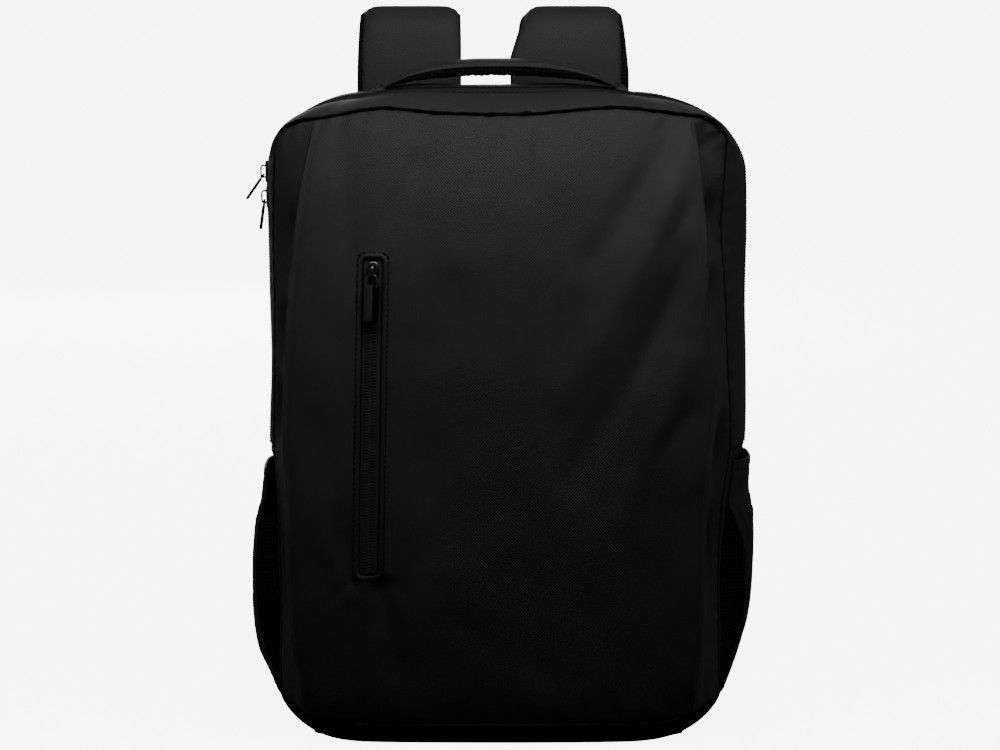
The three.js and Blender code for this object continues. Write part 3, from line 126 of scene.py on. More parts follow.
# Name, pivot height, lean in degrees and pivot across
SIDE_PULLS = [("upper", 371.71, 35, -157.718), ("lower", 354.71, 8, -157.331)]
SIDE_PLATE_TOP = 4
SIDE_PLATE_SHOULDER = 6
SIDE_PLATE_ROUND = 18  # where the plate's rounded end begins
SIDE_PLATE_END = 2
STRAP_TURN = 6.4  # row of the strap's path where it turns back
STRAP_RINGS = 150
STRAP_HEM = 4.5  # edge of a strap to its row of stitches
STRAP_DROOP = 3.6  # how far a strap's edges hang at the fold
ANCHOR_SPREAD = 122
ANCHOR_HEIGHT = 34

# Side pockets
POCKET_LEFT = SIDE_SEAM - 13
POCKET_RIGHT = SIDE_SEAM - 7
POCKET_BAND = 30
POCKET_FULLNESS = 16
POCKET_CLOTH = 1.4
POCKET_SINK = 6

DENT_GAIN = 2.5  # how much deeper the hollows beside the face are than their table says
FOLD_GAIN = 2.0  # the same for the folds of the face

STITCH_LENGTH = 2.7
STITCH_GAP = 1.1
STITCH_RADIUS = 0.3
STAGE_GLOW = 7.0
WORLD_GLOW = 0.08

# The camera, in degrees, metres and millimetres of lens
CAMERA_RISE = 8.5
CAMERA_DISTANCE = 2.4
CAMERA_TARGET = 0.2376  # height that it looks at
CAMERA_LENS = 128.8


class Table:
    """Rows of named columns with a smooth curve through each column."""

    def __init__(self, columns, rows):
        self.columns = columns.split()
        self.rows = np.array(rows, float)

    def at(self, column, place):
        keys = self.rows[:, 0]
        values = self.rows[:, self.columns.index(column)]
        last = len(keys) - 1
        before = np.maximum(np.arange(last + 1) - 1, 0)
        after = np.minimum(np.arange(last + 1) + 1, last)
        slopes = (values[after] - values[before]) / (keys[after] - keys[before])
        here = np.clip(place, keys[0], keys[-1])
        i = np.clip(np.searchsorted(keys, here, side="left") - 1, 0, last - 1)
        span = keys[i + 1] - keys[i]
        t = (here - keys[i]) / span
        rise = t * t * (3 - 2 * t)
        return (
            values[i] * (1 - rise)
            + values[i + 1] * rise
            + slopes[i] * span * t * (1 - t) ** 2
            - slopes[i + 1] * span * t * t * (1 - t)
        )


# Depth stations of the body: shares of its height and of half its width.
STATIONS = Table(
    "at top corner_left corner_right corner_rise",
    [
        (0, 0.973, 0.178, 0.153, 0.045),
        (0.5, 0.992, 0.3, 0.32, 0.095),
        (1, 1, 0.42, 0.465, 0.132),
        (2, 1.004, 0.43, 0.465, 0.132),
        (2.6, 1.005, 0.42, 0.45, 0.13),
        (3, 0.999, 0.39, 0.41, 0.125),
    ],
)

# Half widths up the sides, as shares of half the width, at shares of the height.
SIDES = Table(
    "height seam_left seam_right zip_left zip_right back_left back_right",
    [
        (0, 0.935, 0.935, 0.949, 0.955, 0.93, 0.935),
        (0.09, 0.938, 0.94, 0.958, 0.965, 0.94, 0.945),
        (0.2, 0.934, 0.932, 0.962, 0.98, 0.945, 0.955),
        (0.35, 0.94, 0.94, 0.972, 1.015, 0.95, 0.975),
        (0.455, 0.956, 0.976, 0.981, 1.045, 0.955, 0.99),
        (0.57, 0.952, 0.963, 0.97, 1.045, 0.95, 0.99),
        (0.68, 0.95, 0.95, 0.975, 1.038, 0.95, 0.985),
        (0.79, 0.953, 0.928, 0.979, 1.042, 0.95, 0.985),
        (0.87, 0.948, 0.94, 0.985, 1.038, 0.95, 0.98),
        (0.93, 0.936, 0.95, 0.983, 1.03, 0.945, 0.975),
    ],
)

TOP_SEAM = Table(
    "across rise",
    [(0, -0.008), (0.17, 0.008), (0.32, 0.001), (0.56, -0.001), (0.8, 0.009), (1, -0.003)],
)

# The two creases of the front face and its fullness between them.
FRONT = Table(
    "height left right reach crown",
    [
        (0.02, 0.812, 0.808, 0.76, 0.075),
        (0.075, 0.834, 0.822, 0.815, 0.085),
        (0.12, 0.856, 0.833, 0.845, 0.09),
        (0.19, 0.878, 0.845, 0.875, 0.1),
        (0.29, 0.889, 0.855, 0.895, 0.105),
        (0.38, 0.892, 0.861, 0.893, 0.107),
        (0.45, 0.897, 0.878, 0.885, 0.105),
        (0.54, 0.895, 0.908, 0.868, 0.102),
        (0.58, 0.892, 0.896, 0.858, 0.1),
        (0.65, 0.884, 0.862, 0.835, 0.095),
        (0.72, 0.868, 0.857, 0.805, 0.088),
        (0.78, 0.855, 0.855, 0.765, 0.08),
        (0.85, 0.832, 0.843, 0.7, 0.066),
        (0.91, 0.803, 0.826, 0.615, 0.045),
        (0.95, 0.782, 0.816, 0.52, 0.025),
        (0.98, 0.768, 0.81, 0.44, 0),
    ],
)

# Folds of the front face: from and to as shares of half the width and of the height, depth (in is positive)
# and spread in millimetres, and what is left of the depth at the far end.
FACE_FOLDS = [
    (-0.26, 0.97, -0.36, 0.8, 1.9, 7, 0.35),
    (-0.03, 0.975, -0.1, 0.84, 2.8, 7, 0.35),
    (0.12, 0.975, 0.1, 0.83, 2.8, 6, 0.35),
    (0.8, 0.52, 0.66, 0.46, 1.1, 8, 0.3),
    (-0.7, 0.93, -0.6, 0.72, 1.3, 12, 0.4),
    (-0.15, 0.2, 0.3, 0.1, 0.6, 14, 0.5),
    (0.79, 0.93, 0.38, 0.74, 2.8, 11, 0.35),
    (0.74, 0.82, 0.26, 0.55, -1.8, 12, 0.35),
    (0.8, 0.74, 0.3, 0.42, 2.9, 12, 0.35),
    (0.78, 0.6, 0.5, 0.36, -1.6, 11, 0.35),
    (-0.78, 0.5, -0.62, 0.28, 0.9, 11, 0.35),
    (-0.62, 0.24, -0.8, 0.36, -0.8, 8, 0.35),
    (-0.5, 0.25, -0.42, 0.12, 1.6, 8, 0.35),
    (-0.2, 0.7, -0.3, 0.3, 1.3, 14, 0.35),
    (-0.09, 0.985, -0.13, 0.91, 1.1, 4, 0.2),
    (0.11, 0.985, 0.1, 0.91, 1.1, 4, 0.2),
    (-0.33, 0.985, -0.38, 0.945, 0.9, 3.5, 0.2),
    (-0.36, 0.87, -0.47, 0.79, 1.1, 6, 0.4),
    (0.79, 0.955, 0.6, 0.895, 2.1, 8, 0.3),
    (0.83, 0.89, 0.66, 0.8, -1.4, 8, 0.3),
    (0.8, 0.81, 0.7, 0.76, 1.9, 7, 0.4),
    (-0.62, 0.262, -0.74, 0.225, 0.6, 3.5, 0.2),
    (-0.46, 0.262, -0.37, 0.235, 0.6, 3.5, 0.2),
    (-0.6, 0.25, -0.64, 0.19, 0.7, 4, 0.2),
]

# Hollows between a crease and the front seam: side, height and tall as shares of the height, place across,
# depth.
RETURN_DENTS = [
    (-1, 0.78, 0.045, 0.7, 3.6),
    (-1, 0.64, 0.035, 0.75, 5.6),
    (-1, 0.52, 0.04, 0.5, 2.8),
    (1, 0.92, 0.03, 0.6, 3.4),
    (1, 0.8, 0.04, 0.6, 5.6),
    (1, 0.7, 0.035, 0.75, 4.5),
    (1, 0.46, 0.05, 0.55, 3.9),
    (1, 0.3, 0.06, 0.5, 3.4),
    (-1, 0.26, 0.05, 0.5, 3.4),
]

POCKET = Table(
    "height edge full_right full_left",
    [
        (0, 0.17, 0.19, 0.19),
        (0.07, 0.3, 0.45, 0.55),
        (0.17, 0.5, 0.66, 0.86),
        (0.3, 0.82, 0.86, 1.02),
        (0.45, 0.95, 0.96, 1.04),
        (0.62, 0.98, 0.84, 0.86),
        (0.78, 0.75, 0.66, 0.62),
        (0.88, 0.42, 0.42, 0.47),
        (1, 0.3, 0.34, 0.3),
    ],
)

# Where a pocket's net ends, as shares round the pocket, at shares of its height.
NET_EDGE = Table(
    "height left right",
    [
        (0, 0.19, 0.18),
        (0.3, 0.18, 0.165),
        (0.6, 0.165, 0.15),
        (0.8, 0.155, 0.12),
        (0.92, 0.15, 0.07),
        (1, 0.15, 0.035),
    ],
)

# Shoulder strap: distance behind the back panel, rise and drop about the bag's top, sideways drift, width.
STRAP = Table(
    "row back rise drop out wide",
    [
        (0, 0.09, 0, 0.11, 0, 1),
        (1, 0.1, 0, 0.05, 0, 1),
        (2, 0.14, 0.1, 0, 0, 1),
        (3, 0.23, 0.52, 0, 0, 1),
        (4, 0.38, 0.85, 0, 0, 0.99),
        (5, 0.64, 1, 0, 0, 0.98),
        (6, 0.89, 0.84, 0, 0, 0.98),
        (7, 0.99, 0.42, 0, 0.01, 0.98),
        (8, 1, 0, 0.04, 0.02, 0.98),
        (9, 0.88, 0, 0.24, 0.07, 0.97),
        (10, 0.7, 0, 0.46, 0.15, 0.93),
        (11, 0.59, 0, 0.68, 0.21, 0.86),
        (12, 0.55, 0, 0.86, 0.25, 0.76),
        (13, 0.54, 0, 0.97, 0.27, 0.62),
        (14, 0.54, 0, 1, 0.275, 0.5),
    ],
)

HANDLE = Table(
    "along top thick",
    [
        (-0.5, 0.17, 0.24),
        (-0.465, 0.3, 0.36),
        (-0.4, 0.56, 0.62),
        (-0.28, 0.83, 0.9),
        (-0.15, 0.97, 1),
        (0, 1, 1),
        (0.15, 0.97, 1),
        (0.28, 0.83, 0.9),
        (0.4, 0.56, 0.62),
        (0.465, 0.3, 0.36),
        (0.5, 0.17, 0.24),
    ],
)


def lerp(a, b, t):
    return a + (b - a) * t


def points(x, y, z):
    """An array of points from three arrays or numbers."""
    return np.stack(np.broadcast_arrays(x, y, z), -1).astype(float)


def unit(v):
    return v / np.maximum(np.linalg.norm(v, axis=-1, keepdims=True), 1e-9)


def square_to(v, way):
    """Directions made square to others."""
    return unit(v - way * np.sum(v * way, -1, keepdims=True))


def circle(count):
    return np.linspace(0, 2 * math.pi, count, endpoint=False)


def squared(wave, power):
    """A sine or cosine made squarer by a power below 1."""
    return np.sign(wave) * np.abs(wave) ** power


def bell(distance, reach):
    return np.exp(-((distance / reach) ** 2))


def merged(*parts):
    """Places of several lists in order, each once."""
    return np.unique(np.concatenate(parts).round(6))


def path_reach(path):
    """The distance along a path at each of its points."""
    return np.concatenate([[0], np.cumsum(np.linalg.norm(np.diff(path, axis=0), axis=1))])


def path_at(path, reach, spots):
    return np.stack([np.interp(spots, reach, path[:, k]) for k in range(path.shape[1])], -1)


def swung(p, degrees):
    """Coordinates of points turned about the x axis."""
    p = np.asarray(p, float)
    turn = -math.radians(degrees)
    y = p[..., 1] * math.cos(turn) - p[..., 2] * math.sin(turn)
    z = p[..., 1] * math.sin(turn) + p[..., 2] * math.cos(turn)
    return p[..., 0], y, z


def side_at(name, z):
    return HALF_WIDTH * SIDES.at(name, z / BODY_HEIGHT)


def half_width(side, z, at):
    """Half width of the body on one side (-1 left, 1 right) at a height and a depth station."""
    name = "left" if side < 0 else "right"
    seam = side_at("seam_" + name, z)
    zipped = side_at("zip_" + name, z)
    back = side_at("back_" + name, z)
    ahead = lerp(seam, zipped, np.sin(np.clip(at, 0, 1) * math.pi / 2))
    behind = lerp(zipped, back, np.clip(at - 2, 0, None) ** 2)
    return np.where(at <= 1, ahead, behind)


def depth(at, top):
    """Depth of a station. top is 1 across the top of the bag and 0 down its sides."""
    seam = -lerp(FRONT_SETBACK, TOP_SETBACK, top)
    return np.where(at <= 1, seam * (1 - at), np.where(at <= 2, ZIP_WIDTH * (at - 1), 0)) + np.where(
        at > 2, lerp(ZIP_WIDTH, REAR_DEPTH, at - 2), 0
    )


def body_side(place, at, side):
    top = BODY_HEIGHT * STATIONS.at("top", at)
    rise = BODY_HEIGHT * STATIONS.at("corner_rise", at)
    corner_top = top - rise
    droop = SHOULDER_DROP * np.clip(at, 0, 1)
    low = lerp(BASE_RISE, SIDE_SEAM, place)
    high = lerp(SIDE_SEAM, corner_top, place - 1)
    z = np.where(place <= 1, low, high)
    wall = points(side * half_width(side, z, at), depth(at, 0), z)
    fade = np.clip(1 - at, 0, 1)

    def wave(across):
        return BODY_HEIGHT * TOP_SEAM.at("rise", across) * fade

    shoulder = half_width(side, corner_top, at)
    corner = HALF_WIDTH * STATIONS.at("corner_left" if side < 0 else "corner_right", at)
    turn = np.clip(place - 2, 0, 1) * math.pi / 2
    lift = top + wave(0 if side < 0 else 1) - droop - corner_top
    bend = points(
        side * (shoulder - corner * (1 - np.cos(turn))),
        depth(at, np.clip(place - 2, 0, 1)),
        corner_top + lift * np.sin(turn),
    )
    left_end = half_width(-1, corner_top, at) - HALF_WIDTH * STATIONS.at("corner_left", at)
    right_end = half_width(1, corner_top, at) - HALF_WIDTH * STATIONS.at("corner_right", at)
    across = place - 3 if side < 0 else 4 - place
    fall = droop * np.abs(2 * across - 1) ** 5
    level = points(lerp(-left_end, right_end, across), depth(at, 1), top + wave(across) - fall)
    result = np.where((place <= 2)[..., None], wall, bend)
    return np.where((place > 3)[..., None], level, result)


def body_point(place, at):
    """The outside behind the front seam. place runs round the bag: 0-2 left side, 2-3 left corner, 3-4 top,
    4-5 right corner, 5-7 right side. at is 0 at the front seam, 1 and 2 at the main zip, 3 at the back seam."""
    place, at = np.broadcast_arrays(np.asarray(place, float), np.asarray(at, float))
    left = body_side(place, at, -1)
    right = body_side(7 - place, at, 1)
    return np.where((place > 3.5)[..., None], right, left)


def crease_x(side, z):
    return side * HALF_WIDTH * FRONT.at("left" if side < 0 else "right", z / BODY_HEIGHT)


def fold_depth(x, z):
    total = np.zeros(np.broadcast(x, z).shape)
    for from_x, from_z, to_x, to_z, deep, spread, rest in FACE_FOLDS:
        start = np.array([from_x * HALF_WIDTH, from_z * BODY_HEIGHT])
        run = np.array([to_x * HALF_WIDTH, to_z * BODY_HEIGHT]) - start
        length = math.hypot(*run)
        dx, dz = x - start[0], z - start[1]
        along = (dx * run[0] + dz * run[1]) / length**2
        beyond = np.maximum(0, np.maximum(-along, along - 1)) * length
        aside = (dx * run[1] - dz * run[0]) / length
        fade = lerp(1, rest, np.clip(along, 0, 1))
        near = np.exp(-(aside**2 + beyond**2) / (0.85 * spread) ** 2)
        total = total + FOLD_GAIN * deep * fade * near
    return total


def face_depth(x, z):
    share = z / BODY_HEIGHT
    left, right = crease_x(-1, z), crease_x(1, z)
    middle = np.clip((2 * x - left - right) / (right - left), -1, 1)
    full = (1 - middle**2) ** 0.8
    bulge = FRONT.at("reach", share) + FRONT.at("crown", share) * full
    return -FRONT_DEPTH * bulge + fold_depth(x, z) * np.minimum(1, 2.2 * full)


def seam_top():
    return BODY_HEIGHT * float(STATIONS.at("top", 0.0) - STATIONS.at("corner_rise", 0.0))


def seam_point(side, up):
    z = lerp(BASE_RISE, seam_top(), up)
    return points(side * half_width(side, z, np.zeros_like(z)), -FRONT_SETBACK, z)


def front_crease(side, up):
    seam = body_point(3.0 if side < 0 else 4.0, 0.0)
    z = lerp(BASE_RISE, seam[2], up)
    x = crease_x(side, z)
    return lerp(points(x, face_depth(x, z), z), seam, (up**10)[..., None])


def return_point(side, turn, up):
    """The cloth between the front seam (turn 0) and a crease (turn 1)."""
    seam = seam_point(side, up)
    point = lerp(seam, front_crease(side, up), turn[..., None])
    corner = body_point(2 + turn if side < 0 else 5 - turn, np.zeros_like(turn))
    ones = np.ones_like(up)
    straight = lerp(seam_point(side, ones), front_crease(side, ones), turn[..., None])
    point = point + (corner - straight) * (up**5)[..., None]
    for where, height, tall, across, deep in RETURN_DENTS:
        if where != side:
            continue
        lift = (point[..., 2] / BODY_HEIGHT - height) / tall
        wide = (turn - across) / 0.36
        press = DENT_GAIN * deep * np.minimum(1, 6 * turn * (1 - turn)) * np.exp(-(lift**2) - wide**2)
        point[..., 0] -= side * press
    return point


def slot_x(z):
    return lerp(SLOT_BOTTOM_X, SLOT_TOP_X, (z - SLOT_BOTTOM) / (SLOT_TOP - SLOT_BOTTOM))


# Shares across the front face at which the two edges of the zip's slot run.
SLOT_LEFT = 0.18
SLOT_RIGHT = 0.24


def face_x(share, z):
    """X at a share across the face, so that two columns of the mesh run along the slot's edges."""
    left, right = crease_x(-1, z), crease_x(1, z)
    edge_left = slot_x(z) - SLOT_WIDTH / 2
    edge_right = slot_x(z) + SLOT_WIDTH / 2
    before = lerp(left, edge_left, share / SLOT_LEFT)
    inside = lerp(edge_left, edge_right, (share - SLOT_LEFT) / (SLOT_RIGHT - SLOT_LEFT))
    after = lerp(edge_right, right, (share - SLOT_RIGHT) / (1 - SLOT_RIGHT))
    return np.where(share < SLOT_LEFT, before, np.where(share > SLOT_RIGHT, after, inside))


def front_point(across, up):
    """The front panel. across is -2 to -1 on the left return, to 1 on the face and to 2 on the right return.
    up is 0 at the base and 1 at the top seam."""
    across, up = np.broadcast_arrays(np.asarray(across, float), np.asarray(up, float))
    share = np.clip((across + 1) / 2, 0, 1)
    left_end, right_end = body_point(3.0, 0.0), body_point(4.0, 0.0)
    z = lerp(BASE_RISE, lerp(left_end[2], right_end[2], share), up)
    x = face_x(share, z)
    spot = (x - crease_x(-1, z)) / (crease_x(1, z) - crease_x(-1, z))
    seam = body_point(3 + spot, np.zeros_like(spot))
    z = lerp(BASE_RISE, seam[..., 2], up)
    face = lerp(points(x, face_depth(x, z), z), seam, (up**10)[..., None])
    left = return_point(-1, np.clip(2 + across, 0, 1), up)
    right = return_point(1, np.clip(2 - across, 0, 1), up)
    result = np.where((across < -1)[..., None], left, face)
    return np.where((across > 1)[..., None], right, result)


def side_panel_point(place, at):
    point = body_point(place, at)
    up = np.clip((point[..., 2] - BASE_RISE) / (SIDE_SEAM - BASE_RISE), 0, 1)
    edge = 0.12
    across = np.minimum(0.8 * np.maximum(0, at - edge), 1.6 * np.maximum(0, 3 - edge - at))
    rim = np.minimum(6 * up, 30 * np.maximum(0, 0.988 - up))
    point[..., 0] -= np.sign(point[..., 0]) * POCKET_SINK * np.minimum(1, rim) * np.minimum(1, across)
    return point


def pocket_point(side, round_share, z, top):
    """Outside of a side pocket, from its seam behind the front seam (0) to its seam at the back (1)."""
    share = np.clip((z - BASE_RISE) / (top - BASE_RISE), 0, 1)
    edge = POCKET_FULLNESS * POCKET.at("edge", share)
    full = POCKET_FULLNESS * POCKET.at("full_left" if side < 0 else "full_right", share)
    clear = 0.7
    ats = np.array([0.08, 0.62, 1, 1.7, 2.4, 2.86])
    rises = [clear, edge, np.maximum(full, edge * 0.9), full, full * 0.9, clear]
    knots = []
    for at, rise in zip(ats, rises):
        x = side * (half_width(side, z, np.full_like(z, at)) + np.maximum(rise, clear))
        knots.append(points(x, float(depth(np.array(at), 0)), z))
    return catmull(np.stack(knots), round_share)


def catmull(knots, share):
    """Centripetal curve through the knots (first axis) at a share of its spans, for a whole array at once."""
    spans = len(knots) - 1
    place = np.clip(share, 0, 1) * spans
    i = np.minimum(place.astype(int), spans - 1)
    t = (place - i)[..., None]
    first = 2 * knots[0] - knots[1]
    last = 2 * knots[-1] - knots[-2]
    every = np.concatenate([first[None], knots, last[None]])

    def pick(offset):
        place = np.broadcast_to((i + offset)[None, ..., None], (1,) + t.shape[:-1] + (3,))
        return np.take_along_axis(every, place, 0)[0]

    def span(a, b):
        return np.sqrt(np.linalg.norm(b - a, axis=-1, keepdims=True)) + 1e-6

    p0, p1, p2, p3 = (pick(k) for k in range(4))
    d0, d1, d2 = span(p0, p1), span(p1, p2), span(p2, p3)
    m1 = ((p1 - p0) / d0 - (p2 - p0) / (d0 + d1) + (p2 - p1) / d1) * d1
    m2 = ((p2 - p1) / d1 - (p3 - p1) / (d1 + d2) + (p3 - p2) / d2) * d1
    a = 2 * p1 - 2 * p2 + m1 + m2
    b = -3 * p1 + 3 * p2 - 2 * m1 - m2
    return p1 + m1 * t + b * t * t + a * t**3


# Soft unevenness that no seam holds: a sum of slow waves, the same for every piece of cloth.
RANDOM = np.random.default_rng(7)


def slow_waves(shortest, longest, count=14):
    waves = []
    for _ in range(count):
        way = unit(RANDOM.normal(size=3)) * 2 * math.pi / RANDOM.uniform(shortest, longest)
        waves.append((way, RANDOM.uniform(0, 2 * math.pi)))
    return waves


WAVES = slow_waves(38, 120)
RIPPLES = slow_waves(9, 22)


def noise(p, waves):
    return sum(np.sin(p @ k + phase) for k, phase in waves) / math.sqrt(len(waves))


def grid_normals(grid):
    return unit(np.cross(np.gradient(grid, axis=1), np.gradient(grid, axis=0)))


def facing(grid, axis, side, flipped=0):
    """The grid turned so that its faces look along an axis, and its normals."""
    normals = grid_normals(grid)
    if np.mean(normals[..., axis]) * side < 0:
        grid = np.flip(grid, flipped)
        normals = grid_normals(grid)
    return grid, normals


def uneven(grid, slow, fine):
    """How far the soft unevenness of filled cloth lifts each point."""
    return slow * noise(grid, WAVES) + fine * noise(grid, RIPPLES)


def arc_lengths(grid):
    """Distances along the rows and up the columns of a grid, for its weave."""
    u = np.zeros(grid.shape[:2])
    v = np.zeros(grid.shape[:2])
    u[:, 1:] = np.cumsum(np.linalg.norm(np.diff(grid, axis=1), axis=-1), axis=1)
    v[1:, :] = np.cumsum(np.linalg.norm(np.diff(grid, axis=0), axis=-1), axis=0)
    return u, v


def smoothed(grid, weight):
    """Rounds off a crease: averages each point with its neighbours in the row, by a weight from 0 to 1."""
    mean = grid.copy()
    mean[:, 1:-1] = (grid[:, :-2] + 2 * grid[:, 1:-1] + grid[:, 2:]) / 4
    return lerp(grid, mean, weight[..., None])


def mesh_object(name, vertices, faces, uvs=None, sharp=60):
    """An object from points in millimetres."""
    mesh = bpy.data.meshes.new(name)
    mesh.from_pydata((np.asarray(vertices) * MM).tolist(), [], [list(map(int, f)) for f in faces])
    if uvs is not None:
        layer = mesh.uv_layers.new(name="cloth")
        loops = np.zeros(len(mesh.loops), int)
        mesh.loops.foreach_get("vertex_index", loops)
        layer.data.foreach_set("uv", (np.asarray(uvs)[loops] * MM).ravel())
    mesh.validate()
    mesh.shade_smooth()
    mesh.set_sharp_from_angle(angle=math.radians(sharp))
    made = bpy.data.objects.new(name, mesh)
    bpy.context.collection.objects.link(made)
    return made


def cloth_mesh(name, grid, thickness=CLOTH, hole=None, normals=None):
    """A closed sheet: the grid outside, the same grid pressed in by the thickness, and a rim between them.
    hole is a mask of the quads that are left out."""
    rows, columns = grid.shape[:2]
    normals = grid_normals(grid) if normals is None else normals
    inner = grid - normals * thickness
    vertices = np.concatenate([grid.reshape(-1, 3), inner.reshape(-1, 3)])
    u, v = arc_lengths(grid)
    uvs = np.tile(np.stack([u.ravel(), v.ravel()], -1), (2, 1))
    kept = np.ones((rows - 1, columns - 1), bool) if hole is None else ~hole
    index = np.arange(rows * columns).reshape(rows, columns)
    a, b, c, d = index[:-1, :-1], index[:-1, 1:], index[1:, 1:], index[1:, :-1]
    quads = np.stack([a, b, c, d], -1)[kept]
    under = rows * columns
    faces = [quads, quads[:, ::-1] + under]
    edges = {}
    for start, end in ((a, b), (b, c), (c, d), (d, a)):
        for s, e in zip(start[kept], end[kept]):
            if (e, s) in edges:
                del edges[(e, s)]
            else:
                edges[(s, e)] = True
    rim = np.array([(e, s, s + under, e + under) for s, e in edges])
    faces.append(rim)
    return mesh_object(name, vertices, np.concatenate(faces), uvs)


def turned_out(made):
    """The closed piece with all its faces turned outwards."""
    fix = bmesh.new()
    fix.from_mesh(made.data)
    bmesh.ops.recalc_face_normals(fix, faces=fix.faces)
    fix.to_mesh(made.data)
    fix.free()
    return made


def ring_mesh(name, rings, closed=False, sharp=50):
    """A closed loft through rings of the same number of points."""
    rings = np.asarray(rings, float)
    count, around = rings.shape[:2]
    index = np.arange(count * around).reshape(count, around)
    ahead = np.roll(index, -1, axis=1)
    quads = np.stack([index, ahead, np.roll(ahead, -1, axis=0), np.roll(index, -1, axis=0)], -1)
    faces = [list(f) for f in quads[: count if closed else count - 1].reshape(-1, 4)]
    if not closed:
        faces += [list(index[0][::-1]), list(index[-1])]
    u, v = arc_lengths(rings)
    uvs = np.stack([u.ravel(), v.ravel()], -1)
    return turned_out(mesh_object(name, rings.reshape(-1, 3), faces, uvs, sharp))


def small_lofts(name, lofts, sharp):
    """One mesh of many small closed lofts, each an array of rings of points."""
    vertices, faces = [], []
    for loft in lofts:
        rings, around = loft.shape[:2]
        index = np.arange(rings * around).reshape(rings, around) + len(vertices)
        ahead = np.roll(index, -1, axis=1)
        vertices.extend(loft.reshape(-1, 3))
        faces.extend(np.stack([index[:-1], ahead[:-1], ahead[1:], index[1:]], -1).reshape(-1, 4))
        faces += [index[0][::-1], index[-1]]
    return mesh_object(name, np.array(vertices), faces, sharp=sharp)


def stitches(name, lines, length=STITCH_LENGTH, gap=STITCH_GAP, radius=STITCH_RADIUS):
    """Short rounded threads along lines. Each line is (points, outward directions)."""
    profile = [(-0.5, 0.35, -0.4), (-0.3, 1, 0.35), (0, 1.1, 0.6), (0.3, 1, 0.35), (0.5, 0.35, -0.4)]
    turn = circle(6)
    lofts = []
    for path, out in lines:
        reach = path_reach(path)
        count = max(1, int(reach[-1] // (length + gap)))
        centres = (np.arange(count) + 0.5) * reach[-1] / count
        tangent = unit(path_at(path, reach, centres + 0.4) - path_at(path, reach, centres - 0.4))
        normal = square_to(path_at(out, reach, centres), tangent)
        for c, t, n, s in zip(path_at(path, reach, centres), tangent, normal, np.cross(tangent, normal)):
            ring = (np.outer(np.cos(turn), s) + np.outer(np.sin(turn), n) * 0.7) * radius
            rings = [c + t * a * length + n * radius * lift + ring * wide for a, wide, lift in profile]
            lofts.append(np.array(rings))
    return small_lofts(name, lofts, 80)


def teeth(name, path, out, width=COIL_WIDTH, tall=0.75):
    """Two rows of interlocked coil teeth along a line."""
    reach = path_reach(path)
    profile = [(-0.1, 0.5), (0.12, 0.95), (0.35, 1), (0.5, 0.55)]
    turn = circle(6)
    lofts = []
    for row, offset in ((-1, 0), (1, 0.5)):
        count = int(reach[-1] / TOOTH_PITCH - 1)
        centres = (np.arange(count) + 0.5 + offset) * TOOTH_PITCH
        middle = path_at(path, reach, centres)
        tangent = unit(path_at(path, reach, centres + 0.5) - middle)
        normal = square_to(path_at(out, reach, centres), tangent)
        for c, t, n, s in zip(middle, tangent, normal, np.cross(tangent, normal) * row):
            ring = np.outer(np.cos(turn), t) * TOOTH_PITCH * 0.36 + np.outer(np.sin(turn), n) * tall
            lofts.append(np.array([c + s * along * width + ring * size for along, size in profile]))
    return turned_out(small_lofts(name, lofts, 70))


class Shader:
    """A node material in a few calls."""

    def __init__(self, name):
        self.material = bpy.data.materials.new(name)
        self.material.use_nodes = True
        self.tree = self.material.node_tree
        self.surface = self.tree.nodes["Principled BSDF"]

    def node(self, kind, **inputs):
        made = self.tree.nodes.new("ShaderNode" + kind)
        for key, value in inputs.items():
            self.set(made, key, value)
        return made

    def set(self, node, key, value):
        numbered = key[0] == "_" and key[1:].isdigit()
        socket = node.inputs[int(key[1:]) if numbered else key.replace("_", " ")]
        if isinstance(value, bpy.types.NodeSocket):
            self.tree.links.new(value, socket)
        else:
            socket.default_value = value

    def math(self, operation, a, b=0.0):
        made = self.node("Math", _0=a, _1=b)
        made.operation = operation
        return made.outputs[0]

    def coordinates(self, kind="UV"):
        return self.node("TexCoord").outputs[kind]

    def noise(self, vector, scale, detail=3.0, roughness=0.55):
        made = self.node("TexNoise", Vector=vector, Scale=scale, Detail=detail, Roughness=roughness)
        return made.outputs["Fac"]

    def ramp(self, fac, low, high, start=0.3, end=0.7):
        made = self.node("ValToRGB", Fac=fac)
        first, second = made.color_ramp.elements
        first.position, second.position = start, end
        first.color, second.color = (*low, 1), (*high, 1)
        return made.outputs["Color"]

    def fit(self, fac, low, high, start=0.0, end=1.0):
        made = self.node("MapRange", Value=fac, From_Min=start, From_Max=end, To_Min=low, To_Max=high)
        return made.outputs[0]

    def bump(self, height, distance):
        made = self.node("Bump", Height=height, Distance=distance, Strength=1.0)
        self.tree.links.new(made.outputs[0], self.surface.inputs["Normal"])

    def finish(self, **inputs):
        for key, value in inputs.items():
            self.set(self.surface, key, value)
        return self.material


def weave_height(shader, uv, pitch):
    """Plain weave: threads that pass over and under each other, with the given pitch in metres."""
    parts = shader.node("SeparateXYZ", Vector=uv)
    turn = math.pi / pitch
    a = shader.math("SINE", shader.math("MULTIPLY", parts.outputs[0], turn))
    b = shader.math("SINE", shader.math("MULTIPLY", parts.outputs[1], turn))
    over = shader.math("MULTIPLY", a, b)
    return shader.fit(over, 0.0, 1.0, -1.0, 1.0)


